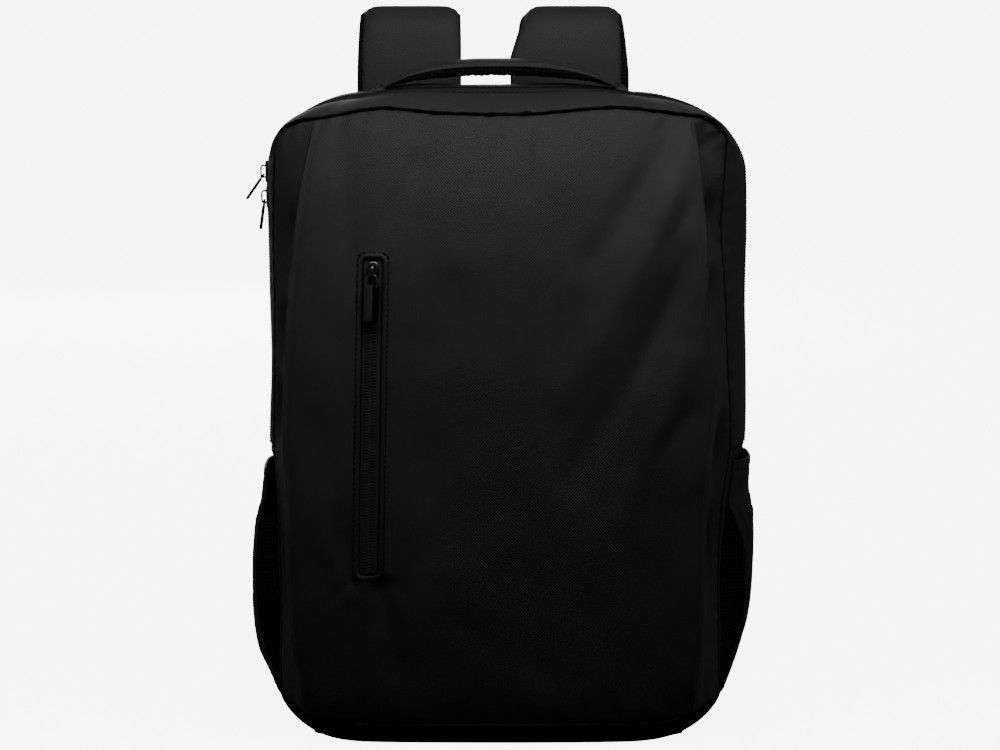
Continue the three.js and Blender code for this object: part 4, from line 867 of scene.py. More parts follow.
def cloth_material(name, dark, light, pitch, rough=(0.5, 0.68), specular=0.12):
    """Matt coated polyester: fine weave, a little mottling and slow changes of tone."""
    s = Shader(name)
    uv = s.coordinates("UV")
    place = s.coordinates("Object")
    weave = weave_height(s, uv, pitch)
    slow = s.noise(place, 14.0, 4.0)
    fine = s.noise(place, 900.0, 2.0)
    mixed = s.math("ADD", s.math("MULTIPLY", slow, 0.6), s.math("MULTIPLY", weave, 0.4))
    grain = s.math("MULTIPLY", s.math("SUBTRACT", fine, 0.5), 0.35)
    colour = s.ramp(s.math("ADD", mixed, grain), dark, light, 0.25, 0.75)
    wear = s.math("ADD", s.math("MULTIPLY", slow, 0.7), s.math("MULTIPLY", fine, 0.3))
    roughness = s.fit(wear, *rough, 0.3, 0.7)
    creases = s.noise(place, 60.0, 5.0)
    height = s.math("ADD", s.math("MULTIPLY", weave, 1.0), s.math("MULTIPLY", creases, 1.6))
    s.bump(height, 0.18 * MM)
    return s.finish(
        Base_Color=colour,
        Roughness=roughness,
        Sheen_Weight=0.01,
        Sheen_Roughness=0.45,
        Specular_IOR_Level=specular,
    )


def mesh_material(name, dark, light, pitch=0.0026):
    """Air mesh: a net of small round holes over a darker ground."""
    s = Shader(name)
    uv = s.coordinates("UV")
    place = s.coordinates("Object")
    cells = s.node("TexVoronoi", Vector=uv, Scale=1 / pitch, Randomness=0.12)
    distance = cells.outputs["Distance"]
    strands = s.fit(distance, 0.0, 1.0, 0.28, 0.5)
    fine = s.noise(place, 1200.0, 2.0)
    grain = s.math("MULTIPLY", s.math("SUBTRACT", fine, 0.5), 0.4)
    colour = s.ramp(s.math("ADD", strands, grain), dark, light, 0.15, 0.85)
    s.bump(s.math("ADD", strands, s.math("MULTIPLY", fine, 0.15)), 0.0006)
    rough = s.fit(fine, 0.75, 0.95)
    return s.finish(Base_Color=colour, Roughness=rough, Sheen_Weight=0.01, Specular_IOR_Level=0.06)


def ribbed_material(name, dark, light, pitch=0.0011):
    """Woven tape or webbing with ribs across it."""
    s = Shader(name)
    uv = s.coordinates("UV")
    place = s.coordinates("Object")
    parts = s.node("SeparateXYZ", Vector=uv)
    ribs = s.math("SINE", s.math("MULTIPLY", parts.outputs[1], 2 * math.pi / pitch))
    threads = s.math("SINE", s.math("MULTIPLY", parts.outputs[0], 2 * math.pi / (pitch * 0.6)))
    height = s.math("ADD", s.fit(ribs, 0, 1, -1, 1), s.fit(threads, 0, 0.35, -1, 1))
    fine = s.noise(place, 700.0, 2.0)
    tone = s.math("ADD", s.math("MULTIPLY", height, 0.6), s.math("MULTIPLY", fine, 0.3))
    colour = s.ramp(tone, dark, light, 0.1, 0.9)
    s.bump(height, 0.00025)
    rough = s.fit(fine, 0.6, 0.8)
    return s.finish(Base_Color=colour, Roughness=rough, Sheen_Weight=0.01, Specular_IOR_Level=0.1)


def metal_material(name, colour, rough):
    """Dark plated metal with faint wear and smudges."""
    s = Shader(name)
    place = s.coordinates("Object")
    slow = s.noise(place, 160.0, 4.0)
    fine = s.noise(place, 2600.0, 2.0)
    light = [c * 1.5 for c in colour]
    s.bump(fine, 0.00002)
    return s.finish(
        Base_Color=s.ramp(slow, colour, light, 0.35, 0.75),
        Metallic=1.0,
        Roughness=s.fit(slow, *rough, 0.3, 0.7),
    )


def plastic_material(name, dark, light, rough, grain=0.00004, specular=0.3):
    """Moulded plastic with a fine grain."""
    s = Shader(name)
    place = s.coordinates("Object")
    slow = s.noise(place, 90.0, 3.0)
    fine = s.noise(place, 2200.0, 3.0)
    s.bump(fine, grain)
    colour = s.ramp(slow, dark, light)
    rough = s.fit(fine, *rough, 0.3, 0.7)
    return s.finish(Base_Color=colour, Roughness=rough, Specular_IOR_Level=specular)


def grey(value):
    return (value, value, value * 1.04)


BODY_CLOTH = cloth_material("body_cloth", grey(0.0086), grey(0.0150), 0.001)
BASE_CLOTH = cloth_material("base_cloth", grey(0.0012), grey(0.0032), 0.0009, (0.6, 0.75), specular=0.03)
AIR_MESH = mesh_material("air_mesh", grey(0.0006), grey(0.0045))
BACK_MESH = mesh_material("back_mesh", grey(0.003), grey(0.016), 0.0034)
ZIP_TAPE = cloth_material("zip_tape", grey(0.0105), grey(0.016), 0.0008, (0.6, 0.75))
MAIN_TAPE = ribbed_material("main_tape", grey(0.005), grey(0.009))
WEBBING = ribbed_material("webbing", grey(0.006), grey(0.014), 0.0018)
COIL = plastic_material("zip_coil", grey(0.008), grey(0.013), (0.5, 0.65), specular=0.12)
MAIN_COIL = plastic_material("main_coil", grey(0.002), grey(0.005), (0.45, 0.6), specular=0.1)
THREAD = plastic_material("thread", grey(0.0008), grey(0.0022), (0.6, 0.8), specular=0.03)
GUNMETAL = metal_material("gunmetal", grey(0.05), (0.18, 0.28))
BLACK_METAL = metal_material("black_metal", grey(0.006), (0.4, 0.55))
TAB = plastic_material("pull_tab", grey(0.005), grey(0.008), (0.26, 0.36), 0.00002, 0.4)
# Painted shade: a darker, matt copy of the tab's plastic, for the side of the tab that the lamps leave in
# shade.
TAB_SHADE = plastic_material("pull_tab_rubber", grey(0.0008), grey(0.0016), (0.6, 0.75), 0.00003, 0.03)
PLASTIC = plastic_material("plastic", grey(0.008), grey(0.013), (0.35, 0.5), specular=0.3)


def dress(piece, material, slot, body, *nodes):
    """Finishes a piece: its material, the body it rides on and the solids it stands for. The record slot is not
    used.
    """
    piece.data.materials.clear()
    piece.data.materials.append(material)
    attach(piece, body)
    if nodes:
        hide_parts(*nodes)
    return piece


def laid(lines, piece, lift=0.1):
    """Lines moved along their outward directions onto the cloth that they are sewn through."""
    mesh = piece.data
    tree = BVHTree.FromPolygons([v.co / MM for v in mesh.vertices], [tuple(p.vertices) for p in mesh.polygons])
    result = []
    for path, out in lines:
        moved = np.array(path, float)
        for k, (start, way) in enumerate(zip(path, out)):
            hit = tree.ray_cast(Vector(start + way * 6), Vector(-way), 12)[0]
            if hit is not None:
                moved[k] = np.array(hit) + way * lift
        result.append((moved, out))
    return result


def edge_fall(distance, reach):
    return bell(np.maximum(distance, 0), reach)


def seam_groove(to_edge, deep=1.3, reach=2.2):
    """How far a cloth dips at its seam."""
    return deep * edge_fall(to_edge, reach)


def pucker(to_edge, along, size=0.4, pitch=11.0, reach=9.0, phase=0.0):
    """Small gathers that a row of stitches pulls into the cloth beside it."""
    wave = np.sin(2 * math.pi * along / pitch + phase + 1.7 * np.sin(along / (pitch * 1.9) + phase))
    return size * wave * edge_fall(to_edge - 3, reach) * np.clip((to_edge - 0.6) / 3, 0, 1)


def front_grid():
    """Places across and up the front panel, fine beside the creases, the slot and the seams."""
    near_slot = 0.03 * np.arange(4) / 4
    face = merged(
        np.linspace(0, SLOT_LEFT, 22),
        np.linspace(SLOT_LEFT, SLOT_RIGHT, 7),
        np.linspace(SLOT_RIGHT, 1, 78),
        SLOT_LEFT - near_slot,
        SLOT_RIGHT + near_slot,
        [0.003, 0.006, 0.01, 0.015, 0.99, 0.985, 0.994, 0.997],
    )
    turns = merged(np.linspace(0, 1, 18), [0.02, 0.05, 0.96, 0.98, 0.99])
    across = np.concatenate([turns - 2, 2 * face[1:-1] - 1, (2 - turns)[::-1]])
    tall = seam_top() - BASE_RISE
    slot_ends = [(SLOT_BOTTOM - BASE_RISE) / tall, (SLOT_TOP - BASE_RISE) / tall]
    ups = merged(np.linspace(0, 1, 128), [0.004, 0.01, 0.99, 0.996], slot_ends)
    u, v = np.meshgrid(across, ups)
    return u, v, (len(turns) - 1, len(turns) + len(face) - 2)


def build_front():
    u, v, creases = front_grid()
    grid = front_point(u, v)
    grid = smoothed(grid, bell(np.abs(u) - 1, 0.02) * np.clip((1 - v) * 12, 0, 1))
    normals = grid_normals(grid)
    along, height = arc_lengths(grid)
    to_side = np.minimum(along, along[:, -1:] - along)
    to_top = height[-1:] - height
    to_seam = np.minimum(np.minimum(to_side, to_top), height)
    lift = uneven(grid, 0.5, 0.08) * np.clip(to_seam / 12, 0, 1)
    lift += pucker(to_top, along, 0.55, 13, 12) + pucker(to_side, height, 0.4, 12, 8, 1.0)
    lift += pucker(height, along, 0.5, 17, 10, 2.0)
    lift -= seam_groove(to_seam)
    to_crease = np.minimum(*(np.abs(along - along[:, [column]]) for column in creases))
    lift += (bell(to_crease, 0.8) - 0.55 * bell(to_crease - 2.6, 1.2)) * np.clip(to_seam / 10, 0, 1)
    x, z = grid[..., 0], grid[..., 2]
    beside = np.abs(x - slot_x(z)) - SLOT_WIDTH / 2
    past = np.maximum(z - SLOT_TOP, SLOT_BOTTOM - z)
    outside = np.hypot(np.maximum(beside, 0), np.maximum(past, 0))
    on_face = np.abs(u) < 1
    lift += np.where(on_face, 0.45 * bell(outside - 1.4, 1.1) - 0.5 * bell(outside - 3, 0.9), 0)
    lift += np.where(on_face & (outside > 3), pucker(outside - 3, z + x, 0.22, 9, 7), 0)
    grid = grid + normals * lift[..., None]
    share = ((u[:-1, :-1] + u[:-1, 1:]) / 2 + 1) / 2
    centre_z = (grid[:-1, :-1, 2] + grid[1:, :-1, 2]) / 2
    hole = (share > SLOT_LEFT) & (share < SLOT_RIGHT) & (centre_z > SLOT_BOTTOM) & (centre_z < SLOT_TOP)
    panel = cloth_mesh("bag_front", grid, CLOTH, hole)
    return dress(panel, BODY_CLOTH, "body_cloth", "bag", "front_panel")


def tube(line, out, radius):
    """Rings of a round cord along a line."""
    forward = unit(np.gradient(line, axis=0))
    aside = unit(np.cross(forward, out))
    up = np.cross(aside, forward)
    turn = circle(8)
    round_parts = [np.outer(np.cos(turn), a) + np.outer(np.sin(turn), u) for a, u in zip(aside, up)]
    return [l + r * part for l, r, part in zip(line, radius, round_parts)]


def build_front_seam():
    """A near-black cord sunk into the front seam's groove: painted shadow that shows as a dark line between the
    front panel and the gusset.
    """
    places = arch_rows(110, 90, 320)
    line, out = zip_line(places, 0.0, 0.0)
    line = line + np.array([0, -0.9, 0]) - out * 0.15
    waver = 0.22 * np.sin(places * 61) * np.sin(places * 23)
    over = np.clip((np.minimum(places, 7 - places) - 2.1) / 0.5, 0, 1)
    radius = lerp(0.3, 0.85, over) * (1 + 0.18 * np.sin(places * 160) * over)
    # Painted shadow: the cord's dark thread colour stands in for the shade in the seam's groove.
    made = ring_mesh("front_seam", tube(line + out * (waver * over)[:, None], out, radius))
    dress(made, THREAD, "body_cloth", "bag")


def slot_surface(across, z, below):
    """Points along the front zip at a distance below the face."""
    x = slot_x(z) + across
    step = 1.0
    here = points(x, face_depth(x, z), z)
    right = points(x + step, face_depth(x + step, z), z) - here
    up = points(x, face_depth(x, z + step), z + step) - here
    out = unit(np.cross(right, up))
    return here - out * np.asarray(below, float)[..., None], out


def slot_loop(grow, radius, count=560):
    """A rounded rectangle round the slot: places across it and heights, and its outward directions."""
    half = SLOT_WIDTH / 2 + grow - radius
    low, high = SLOT_BOTTOM - grow + radius, SLOT_TOP + grow - radius
    corners = []
    for x, z, start in ((half, high, 0), (-half, high, 90), (-half, low, 180), (half, low, 270)):
        turn = np.radians(start + np.linspace(0, 90, 14))
        corners.append(np.stack([x + radius * np.cos(turn), z + radius * np.sin(turn)], -1))
    path = np.concatenate(corners + [corners[0][:1]])
    reach = path_reach(path)
    line = path_at(path, reach, np.linspace(0, reach[-1], count, endpoint=False))
    ahead = unit(np.roll(line, -1, 0) - np.roll(line, 1, 0))
    return line, np.stack([ahead[:, 1], -ahead[:, 0]], -1)


def slot_ring(name, grow, radius, section):
    """A strip round the slot. section is pairs of distances: away from the slot and out of the face."""
    line, away = slot_loop(grow, radius)
    rows = []
    for aside, lift in section:
        spot = line + away * aside
        rows.append(slot_surface(spot[:, 0], spot[:, 1], np.full(len(spot), -lift))[0])
    return ring_mesh(name, np.stack(rows, 1), closed=True)


# Section of the welt: away from the slot and out of the face.
WELT = [(-0.6, -1.7), (-0.9, -0.7), (-0.7, 0.1), (-0.1, 0.5), (0.7, 0.5), (1.5, 0.25), (2.1, -0.15)]
WELT += [(1.6, -1), (0.4, -1.7)]


def build_pocket_zip(panel):
    """Tape, teeth, welt and stitches of the front zip, whose slot is in the panel."""
    a, b = np.meshgrid(np.linspace(-10.3, 10.3, 25), np.linspace(SLOT_BOTTOM - 4, SLOT_TOP + 4, 120))
    grid, out = slot_surface(a, b, np.full(a.shape, SLOT_TAPE_DEPTH - 0.5))
    grid = grid + out * (0.12 * noise(grid, RIPPLES))[..., None]
    tape = cloth_mesh("pocket_tape", grid, 0.9, normals=out)
    dress(tape, ZIP_TAPE, "zip_tape", "bag", "pocket_zip_tape")
    z = np.linspace(SLOT_BOTTOM + 1.5, SLOT_TOP - SLIDER_DROP - SLIDER_LENGTH / 2 - 0.3, 90)
    line, out = slot_surface(np.full_like(z, -0.5), z, np.full_like(z, SLOT_TAPE_DEPTH - 1.1))
    chain = teeth("pocket_teeth", line, out, POCKET_COIL_WIDTH, tall=0.6)
    dress(chain, COIL, "zip_coil", "bag", "pocket_zip_chain")
    dress(slot_ring("slot_welt", 0, 4.0, WELT), BODY_CLOTH, "body_cloth", "bag")
    turn = circle(8)
    # Painted shadow: a near-black cord just inside the slot's edge, where the tape lies deep under the welt,
    # stands in for the shadow there.
    gap = slot_ring("slot_gap", -1.0, 3.2, list(zip(0.6 * np.cos(turn) - 0.1, 0.5 * np.sin(turn) - 1.3)))
    dress(gap, THREAD, "zip_tape", "bag")
    line, _ = slot_loop(2.3, 4.6)
    line = np.concatenate([line, line[:1]])
    rows = [slot_surface(line[:, 0], line[:, 1], np.full(len(line), -0.2))]
    dress(stitches("pocket_zip_stitches", laid(rows, panel, 0.15), 2.6, 0.8, 0.48), THREAD, "zip_tape", "bag")


class Placed:
    """The front slider's own frame: across the zip, into the bag and along the zip."""

    def __init__(self):
        z = np.array([SLOT_TOP - SLIDER_DROP])
        (here,), (out,) = slot_surface(np.zeros(1), z, np.zeros(1))
        above = slot_surface(np.zeros(1), z + 6, np.zeros(1))[0][0]
        below = slot_surface(np.zeros(1), z - 6, np.zeros(1))[0][0]
        along = unit(above - below)
        self.axes = np.stack([np.cross(along, out), -out, along])
        self.origin = here - out * 2.3

    def at(self, p):
        return self.origin + np.asarray(p, float) @ self.axes

    def hung(self, p):
        """From the ring's own frame, which hangs from its pivot."""
        x, y, z = swung(p, PULL_ANGLE)
        return self.at(points(x, y - PIVOT_HEIGHT, z - PIVOT_DROP))


def build_side_pull(name, height, lean, pivot_x):
    """A side slider's pull: a wire eye and a flat plate, hanging at an angle from its pivot."""

    def at(p):
        x, y, z = swung(p, lean)
        return points(pivot_x + y, ZIP_WIDTH / 2 - x, height + z)

    made = ring_mesh("pull_eye_" + name, at(wire_loop(SIDE_EYE, 0.75, 1.2)), closed=True)
    dress(made, BLACK_METAL, "gunmetal", name + "_pull")
    around = circle(28)
    downs = [
        np.linspace(SIDE_PLATE_TOP, SIDE_PLATE_SHOULDER, 4),
        np.linspace(SIDE_PLATE_SHOULDER, SIDE_PLATE_ROUND, 9),
        SIDE_PLATE_ROUND + SIDE_PLATE_END * np.sin(np.linspace(0, math.pi / 2, 8)),
    ]
    rings = []
    for down in np.unique(np.concatenate(downs)):
        widening = np.clip((down - SIDE_PLATE_TOP) / (SIDE_PLATE_SHOULDER - SIDE_PLATE_TOP), 0, 1)
        half = lerp(2.3, 3.25, widening)
        end = np.clip((down - SIDE_PLATE_ROUND) / SIDE_PLATE_END, 0, 1)
        half = half - SIDE_PLATE_END * (1 - math.sqrt(1 - 0.99 * end**2))
        x = squared(np.cos(around), 0.4) * half
        y = squared(np.sin(around), 0.6) * (1.05 - 0.35 * end**3)
        rings.append(at(points(x, y, -down)))
    made = ring_mesh("pull_plate_" + name, rings)
    dress(made, BLACK_METAL, "gunmetal", name + "_pull", "main_pull_" + name)


def wire_loop(corners, wire, rounding):
    """Rings of a bent wire through corners in one plane, closed."""
    corners = np.asarray(corners, float)
    path = []
    for k in range(len(corners)):
        before, here, after = corners[k - 1], corners[k], corners[(k + 1) % len(corners)]
        start = here + unit(before - here) * rounding
        end = here + unit(after - here) * rounding
        for t in np.linspace(0, 1, 7):
            path.append((1 - t) ** 2 * start + 2 * t * (1 - t) * here + t * t * end)
        for t in np.linspace(0, 1, 8)[1:-1]:
            path.append(lerp(end, after + unit(here - after) * rounding, t))
    path = np.array(path)
    forward = unit(np.roll(path, -1, 0) - np.roll(path, 1, 0))
    flat = np.array([0, 1.0, 0])
    aside = np.cross(forward, flat)
    turn = circle(12)
    lift = np.outer(np.sin(turn), flat)
    return np.stack([p + wire * (np.outer(np.cos(turn), s) + lift) for p, s in zip(path, aside)])


# Height above the tape and inset of each ring of the front slider's body.
SLIDER_BODY = [(0, 0.5), (0.35, 0.12), (0.9, 0), (1.3, 0.5), (1.7, 0.5), (2.1, 0), (2.6, 0.1)]
SLIDER_BODY += [(2.9, 0.45), (3, 1.2)]

# Section of the tab, across it and into the bag. Its shaded side, painted darker with a matt copy of its
# plastic, runs from SHADE_FIRST to SHADE_LAST.
TAB_SECTION = np.array(
    [(-5.0, 0.7), (-5.05, -0.6), (-4.75, -1.25), (-4.1, -1.5), (-1.9, -1.85), (0.2, -2.15), (0.75, -2.1)]
    + [(1.2, -1.8), (2.9, -0.6), (4.4, 0.35), (4.85, 0.8), (4.9, 1.3), (4.3, 1.8), (0, 2.0), (-4.3, 1.7)]
)
SHADE_FIRST = 6
SHADE_LAST = 12


def build_slider(place):
    turn = circle(48)
    z = np.sin(turn) * SLIDER_LENGTH / 2
    taper = np.clip((z + SLIDER_LENGTH / 2) / (SLIDER_LENGTH * 0.7), 0, 1)
    wide = lerp(0.66, 1, taper * taper * (3 - 2 * taper)) * SLIDER_WIDTH / 2
    x = squared(np.cos(turn), 0.65) * wide
    rings = []
    for height, inset in SLIDER_BODY:
        keep = 1 - inset / (SLIDER_WIDTH / 2)
        rings.append(place.at(points(x * keep, -height, z * keep)))
    dress(ring_mesh("slider_body", rings), GUNMETAL, "gunmetal", "bag", "pocket_zip_slider")
    turn = np.linspace(0, math.pi, 30)
    line = points(0, -(2.6 + 3.35 * np.sin(turn) ** 0.6), squared(np.cos(turn), 0.55) * 3.9)
    aside = np.array([1.0, 0, 0])
    up = np.cross(aside, unit(np.gradient(line, axis=0)))
    ring = circle(14)
    wide = 1.2 * np.outer(np.cos(ring), aside)
    rings = [place.at(l + wide + 0.6 * np.outer(np.sin(ring), u)) for l, u in zip(line, up)]
    dress(ring_mesh("slider_bridge", rings), GUNMETAL, "gunmetal", "bag")


def build_front_pull():
    """The front zip's slider, its ring and the tab on it."""
    place = Placed()
    build_slider(place)
    wire = place.hung(wire_loop(PULL_RING, 0.6, 1.1))
    dress(ring_mesh("pull_ring", wire, closed=True), GUNMETAL, "gunmetal", "pocket_pull", "pocket_pull_ring")
    bottom = TAB_TOP + TAB_LENGTH
    downs = [
        TAB_TOP + np.array([0, 0.15, 0.4, 0.9]),
        np.linspace(TAB_TOP + 2, bottom - TAB_END, 10),
        bottom - TAB_END * (1 - np.sin(np.linspace(0, math.pi / 2, 9))),
    ]
    rings = []
    for down in np.unique(np.concatenate(downs)):
        low = np.clip((down - (bottom - TAB_END)) / TAB_END, 0, 1)
        high = np.clip((TAB_TOP + 0.7 - down) / 0.7, 0, 1)
        wide = 1 - (TAB_END / 5.05) * (1 - math.sqrt(1 - 0.995 * low**2)) - 0.1 * high**2
        thick = 1 - 0.45 * low**3 - 0.3 * high**2
        rings.append(place.hung(points(TAB_SECTION[:, 0] * wide, TAB_SECTION[:, 1] * thick, -down)))
    tab = ring_mesh("pull_tab", rings, sharp=28)
    dress(tab, TAB, "pull_rubber", "pocket_pull", "pocket_pull_tab")
    # Painted shade: the faces on the tab's shaded side take the darker, matt copy of its plastic.
    tab.data.materials.append(TAB_SHADE)
    for face in tab.data.polygons:
        if SHADE_FIRST <= face.index % len(TAB_SECTION) <= SHADE_LAST and len(face.vertices) == 4:
            face.material_index = 1


def arch_rows(count_side, count_corner, count_top):
    """Places up the left side, over the top and down the right side."""
    side = np.linspace(1, 2, count_side)
    corner = np.linspace(2, 3, count_corner)
    return merged(side, corner, np.linspace(3, 4, count_top), 7 - corner, 7 - side)


def build_gussets():
    places = arch_rows(110, 50, 110)
    hem = 3.4  # the row of stitches beside the main zip
    for name, start, stitched in (
        ("gusset_front", 0, 1 - hem / FRONT_SETBACK),
        ("gusset_rear", 2, 2 + hem / (REAR_DEPTH - ZIP_WIDTH)),
    ):
        ats = np.unique(np.concatenate([np.linspace(start, start + 1, 22), [start + 0.02, start + 0.98]]))
        place, at = np.meshgrid(places, ats)
        grid = np.flip(body_point(place, at), 0)
        normals = grid_normals(grid)
        if np.mean(normals[:, len(places) // 2, 2]) < 0:
            grid = np.flip(grid, 0)
            normals = grid_normals(grid)
        along, wide = arc_lengths(grid)
        to_edge = np.minimum(wide, wide[-1:] - wide)
        to_end = np.minimum(along, along[:, -1:] - along)
        first, last = (abs(np.mean(grid[row, :, 1]) - ZIP_WIDTH / 2) for row in (0, -1))
        seam_edge, zip_edge = (wide, wide[-1:] - wide) if last < first else (wide[-1:] - wide, wide)
        lift = uneven(grid, 0.5, 0.06) * np.clip(to_edge / 9, 0, 1)
        lift += pucker(seam_edge, along, 0.35, 12, 7) + pucker(zip_edge, along, 0.1, 14, 5, 2.2)
        lift -= 0.35 * bell(zip_edge - hem, 0.8)
        lift -= seam_groove(to_edge, 1.1) + seam_groove(to_end, 1.0)
        made = cloth_mesh(name + "_cloth", grid + normals * lift[..., None])
        dress(made, BODY_CLOTH, "body_cloth", "bag", name)
        lines = laid([zip_line(arch_rows(200, 90, 200), stitched, 0.2)], made)
        dress(stitches(name + "_stitches", lines, radius=0.36), THREAD, "body_cloth", "bag")


def zip_line(places, at, below):
    """A line round the bag at one station, and its outward directions."""
    step = 0.02
    ats = np.full_like(places, at)
    here = body_point(places, ats)
    along = body_point(places + step, ats) - body_point(places - step, ats)
    across = body_point(places, ats + step) - body_point(places, ats - step)
    out = unit(np.cross(along, across))
    middle = np.array([0, 20, 200.0])
    out *= np.sign(np.sum(out * (here - middle), -1, keepdims=True))
    return here - out * below, out


def build_main_zip():
    places = arch_rows(90, 45, 90)
    rows = []
    for at in np.linspace(1.0, 2.0, 9):
        bulge = 1.5 * math.sin((at - 1) * math.pi) ** 0.7
        rows.append(zip_line(places, at, MAIN_TAPE_RECESS * (1 - bulge)))
    grid, out = (np.stack([row[k] for row in rows]) for k in (0, 1))
    if np.sum(grid_normals(grid) * out) < 0:
        grid, out = np.flip(grid, 0), np.flip(out, 0)
    dress(cloth_mesh("main_tape", grid, 1.0, normals=out), MAIN_TAPE, "zip_tape", "bag", "main_zip_tape")
    chain = teeth("main_teeth", *zip_line(arch_rows(200, 90, 200), 1.5, -0.9))
    dress(chain, MAIN_COIL, "zip_coil", "bag", "main_zip_chain", "main_zip_chain_left")


def build_sides():
    for side, name in ((-1, "left"), (1, "right")):
        places = np.linspace(0, 1, 90) if side < 0 else np.linspace(7, 6, 90)
        place, at = np.meshgrid(places, np.linspace(0, 3, 60))
        grid, normals = facing(side_panel_point(place, at), 0, side)
        lift = 0.4 * noise(grid, WAVES)
        panel = cloth_mesh("side_cloth_" + name, grid + normals * lift[..., None])
        dress(panel, BODY_CLOTH, "body_cloth", "bag", "side_panel_" + name)


def net_share(side, z, top):
    """How far round a pocket its net reaches: a gore that narrows to nothing under the hem."""
    share = np.clip((z - BASE_RISE) / (top - POCKET_BAND - BASE_RISE), 0, 1)
    rows = NET_EDGE.at("right" if side > 0 else "left", share)
    return np.clip(rows, 0.02, 0.3)


def build_pockets():
    """The cloth, the net and the hem of each side pocket."""
    for side, name, top in ((-1, "left", POCKET_LEFT), (1, "right", POCKET_RIGHT)):
        band_bottom = top - POCKET_BAND

        def wall(start, rounds, low, high, rows):
            r, z = np.meshgrid(rounds, np.linspace(low, high, rows))
            return facing(pocket_point(side, start(r, z), z, top), 0, side, 1)

        def sew(kind, grid, material, slot, node):
            made = cloth_mesh("pocket_" + kind + "_" + name, grid, POCKET_CLOTH)
            dress(made, material, slot, "bag", node + "_" + name)

        def past_net(r, z):
            return lerp(net_share(side, z, top), 1, r)

        def under_net(r, z):
            return r * (net_share(side, z, top) + 0.01)

        grid, normals = wall(past_net, np.linspace(0, 1, 60), BASE_RISE, band_bottom, 90)
        along, height = arc_lengths(grid)
        up_to_band = height[-1:] - height
        lift = uneven(grid, 0.5, 0.05)
        lift += pucker(up_to_band, along, 0.6, 7.5, 16) - seam_groove(up_to_band, 0.9, 1.6)
        lift += pucker(height, along, 0.4, 11, 8) - seam_groove(height, 0.8, 1.6)
        sew("cloth", grid + normals * lift[..., None], BODY_CLOTH, "body_cloth", "side_pocket")
        grid, normals = wall(under_net, np.linspace(0, 1, 16), BASE_RISE, band_bottom, 60)
        sew("net", grid - normals * 0.5, AIR_MESH, "air_mesh", "side_pocket_mesh")
        hem = np.linspace(0.03 if side > 0 else 0.17, 1, 60)
        grid, normals = wall(lambda r, z: r, hem, band_bottom - 1.6, top, 28)
        along, height = arc_lengths(grid)
        lift = pucker(height, along, 0.35, 5.5, 30) - seam_groove(np.abs(height - 24), 0.5, 1.0)
        lift += 0.5 * edge_fall(height - 3, 3)
        sew("hem", grid + normals * lift[..., None], BODY_CLOTH, "body_cloth", "side_pocket_band")


def base_outline():
    """The base's outline in plan, with fine steps: front panel, right side, back, left side."""
    turns = np.linspace(0, 1, 12)[:-1]
    left = front_point(turns - 2, np.zeros_like(turns))
    face = front_point(np.linspace(-1, 1, 70), np.zeros(70))
    right = front_point((2 - turns)[::-1], np.zeros_like(turns))
    ats = np.linspace(0, 2.6, 26)[1:]
    back = REAR_DEPTH + BACK_THICKNESS - SEAM_GAP
    radius = 12
    bend = np.linspace(0, math.pi / 2, 8)
    corners = []
    for side in (1, -1):
        edge = side * float(half_width(side, np.array(float(BASE_RISE)), np.array(3.0)))
        x = edge - side * radius * (1 - np.cos(bend))
        corners.append(points(x, back - radius * (1 - np.sin(bend)), BASE_RISE))
    side_right = body_point(np.full_like(ats, 7.0), ats)
    side_left = body_point(np.zeros_like(ats), ats)[::-1]
    return np.concatenate([left, face, right, side_right, corners[0], corners[1][::-1], side_left])


def drawn_in(loop, share, margin, z):
    """The outline drawn in by a share of the base's rounding."""
    before = unit(loop - np.roll(loop, 1, 0))
    after = unit(np.roll(loop, -1, 0) - loop)
    mean = unit(before + after)
    way = points(-mean[:, 1], mean[:, 0], 0)
    fore = np.where(way[:, 1] > 0, BASE_ROUNDING_FORE, BASE_ROUNDING_BACK)
    result = loop.copy()
    result[:, 0] += way[:, 0] * (margin + share * (BASE_ROUNDING - margin))
    result[:, 1] += way[:, 1] * (margin + share * (fore - margin))
    result[:, 2] = z
    return result


def build_base():
    loop = base_outline()
    outer = []
    eased = loop
    for t in np.linspace(0, 1, 18):
        share = 1 - math.cos(t * math.pi / 2) ** 0.9
        height = (1 - math.sin(t * math.pi / 2) ** 1.15) * (BASE_RISE - 0.2)
        outer.append(drawn_in(eased, share, 0, height))
        for _ in range(5):
            eased = (np.roll(eased, 1, 0) + 2 * eased + np.roll(eased, -1, 0)) / 4
    flat = [drawn_in(eased, 1 + k, 0, 0.0) for k in (0.6, 1.4, 2.4)]
    inner = [drawn_in(loop, share, CLOTH, z) for share, z in ((0, BASE_RISE - 0.2), (0.4, 6), (1, CLOTH))]
    rings = list(reversed(outer + flat))
    made = ring_mesh("base_cloth", rings + inner)
    dress(made, BASE_CLOTH, "base_cloth", "bag", "base_panel")


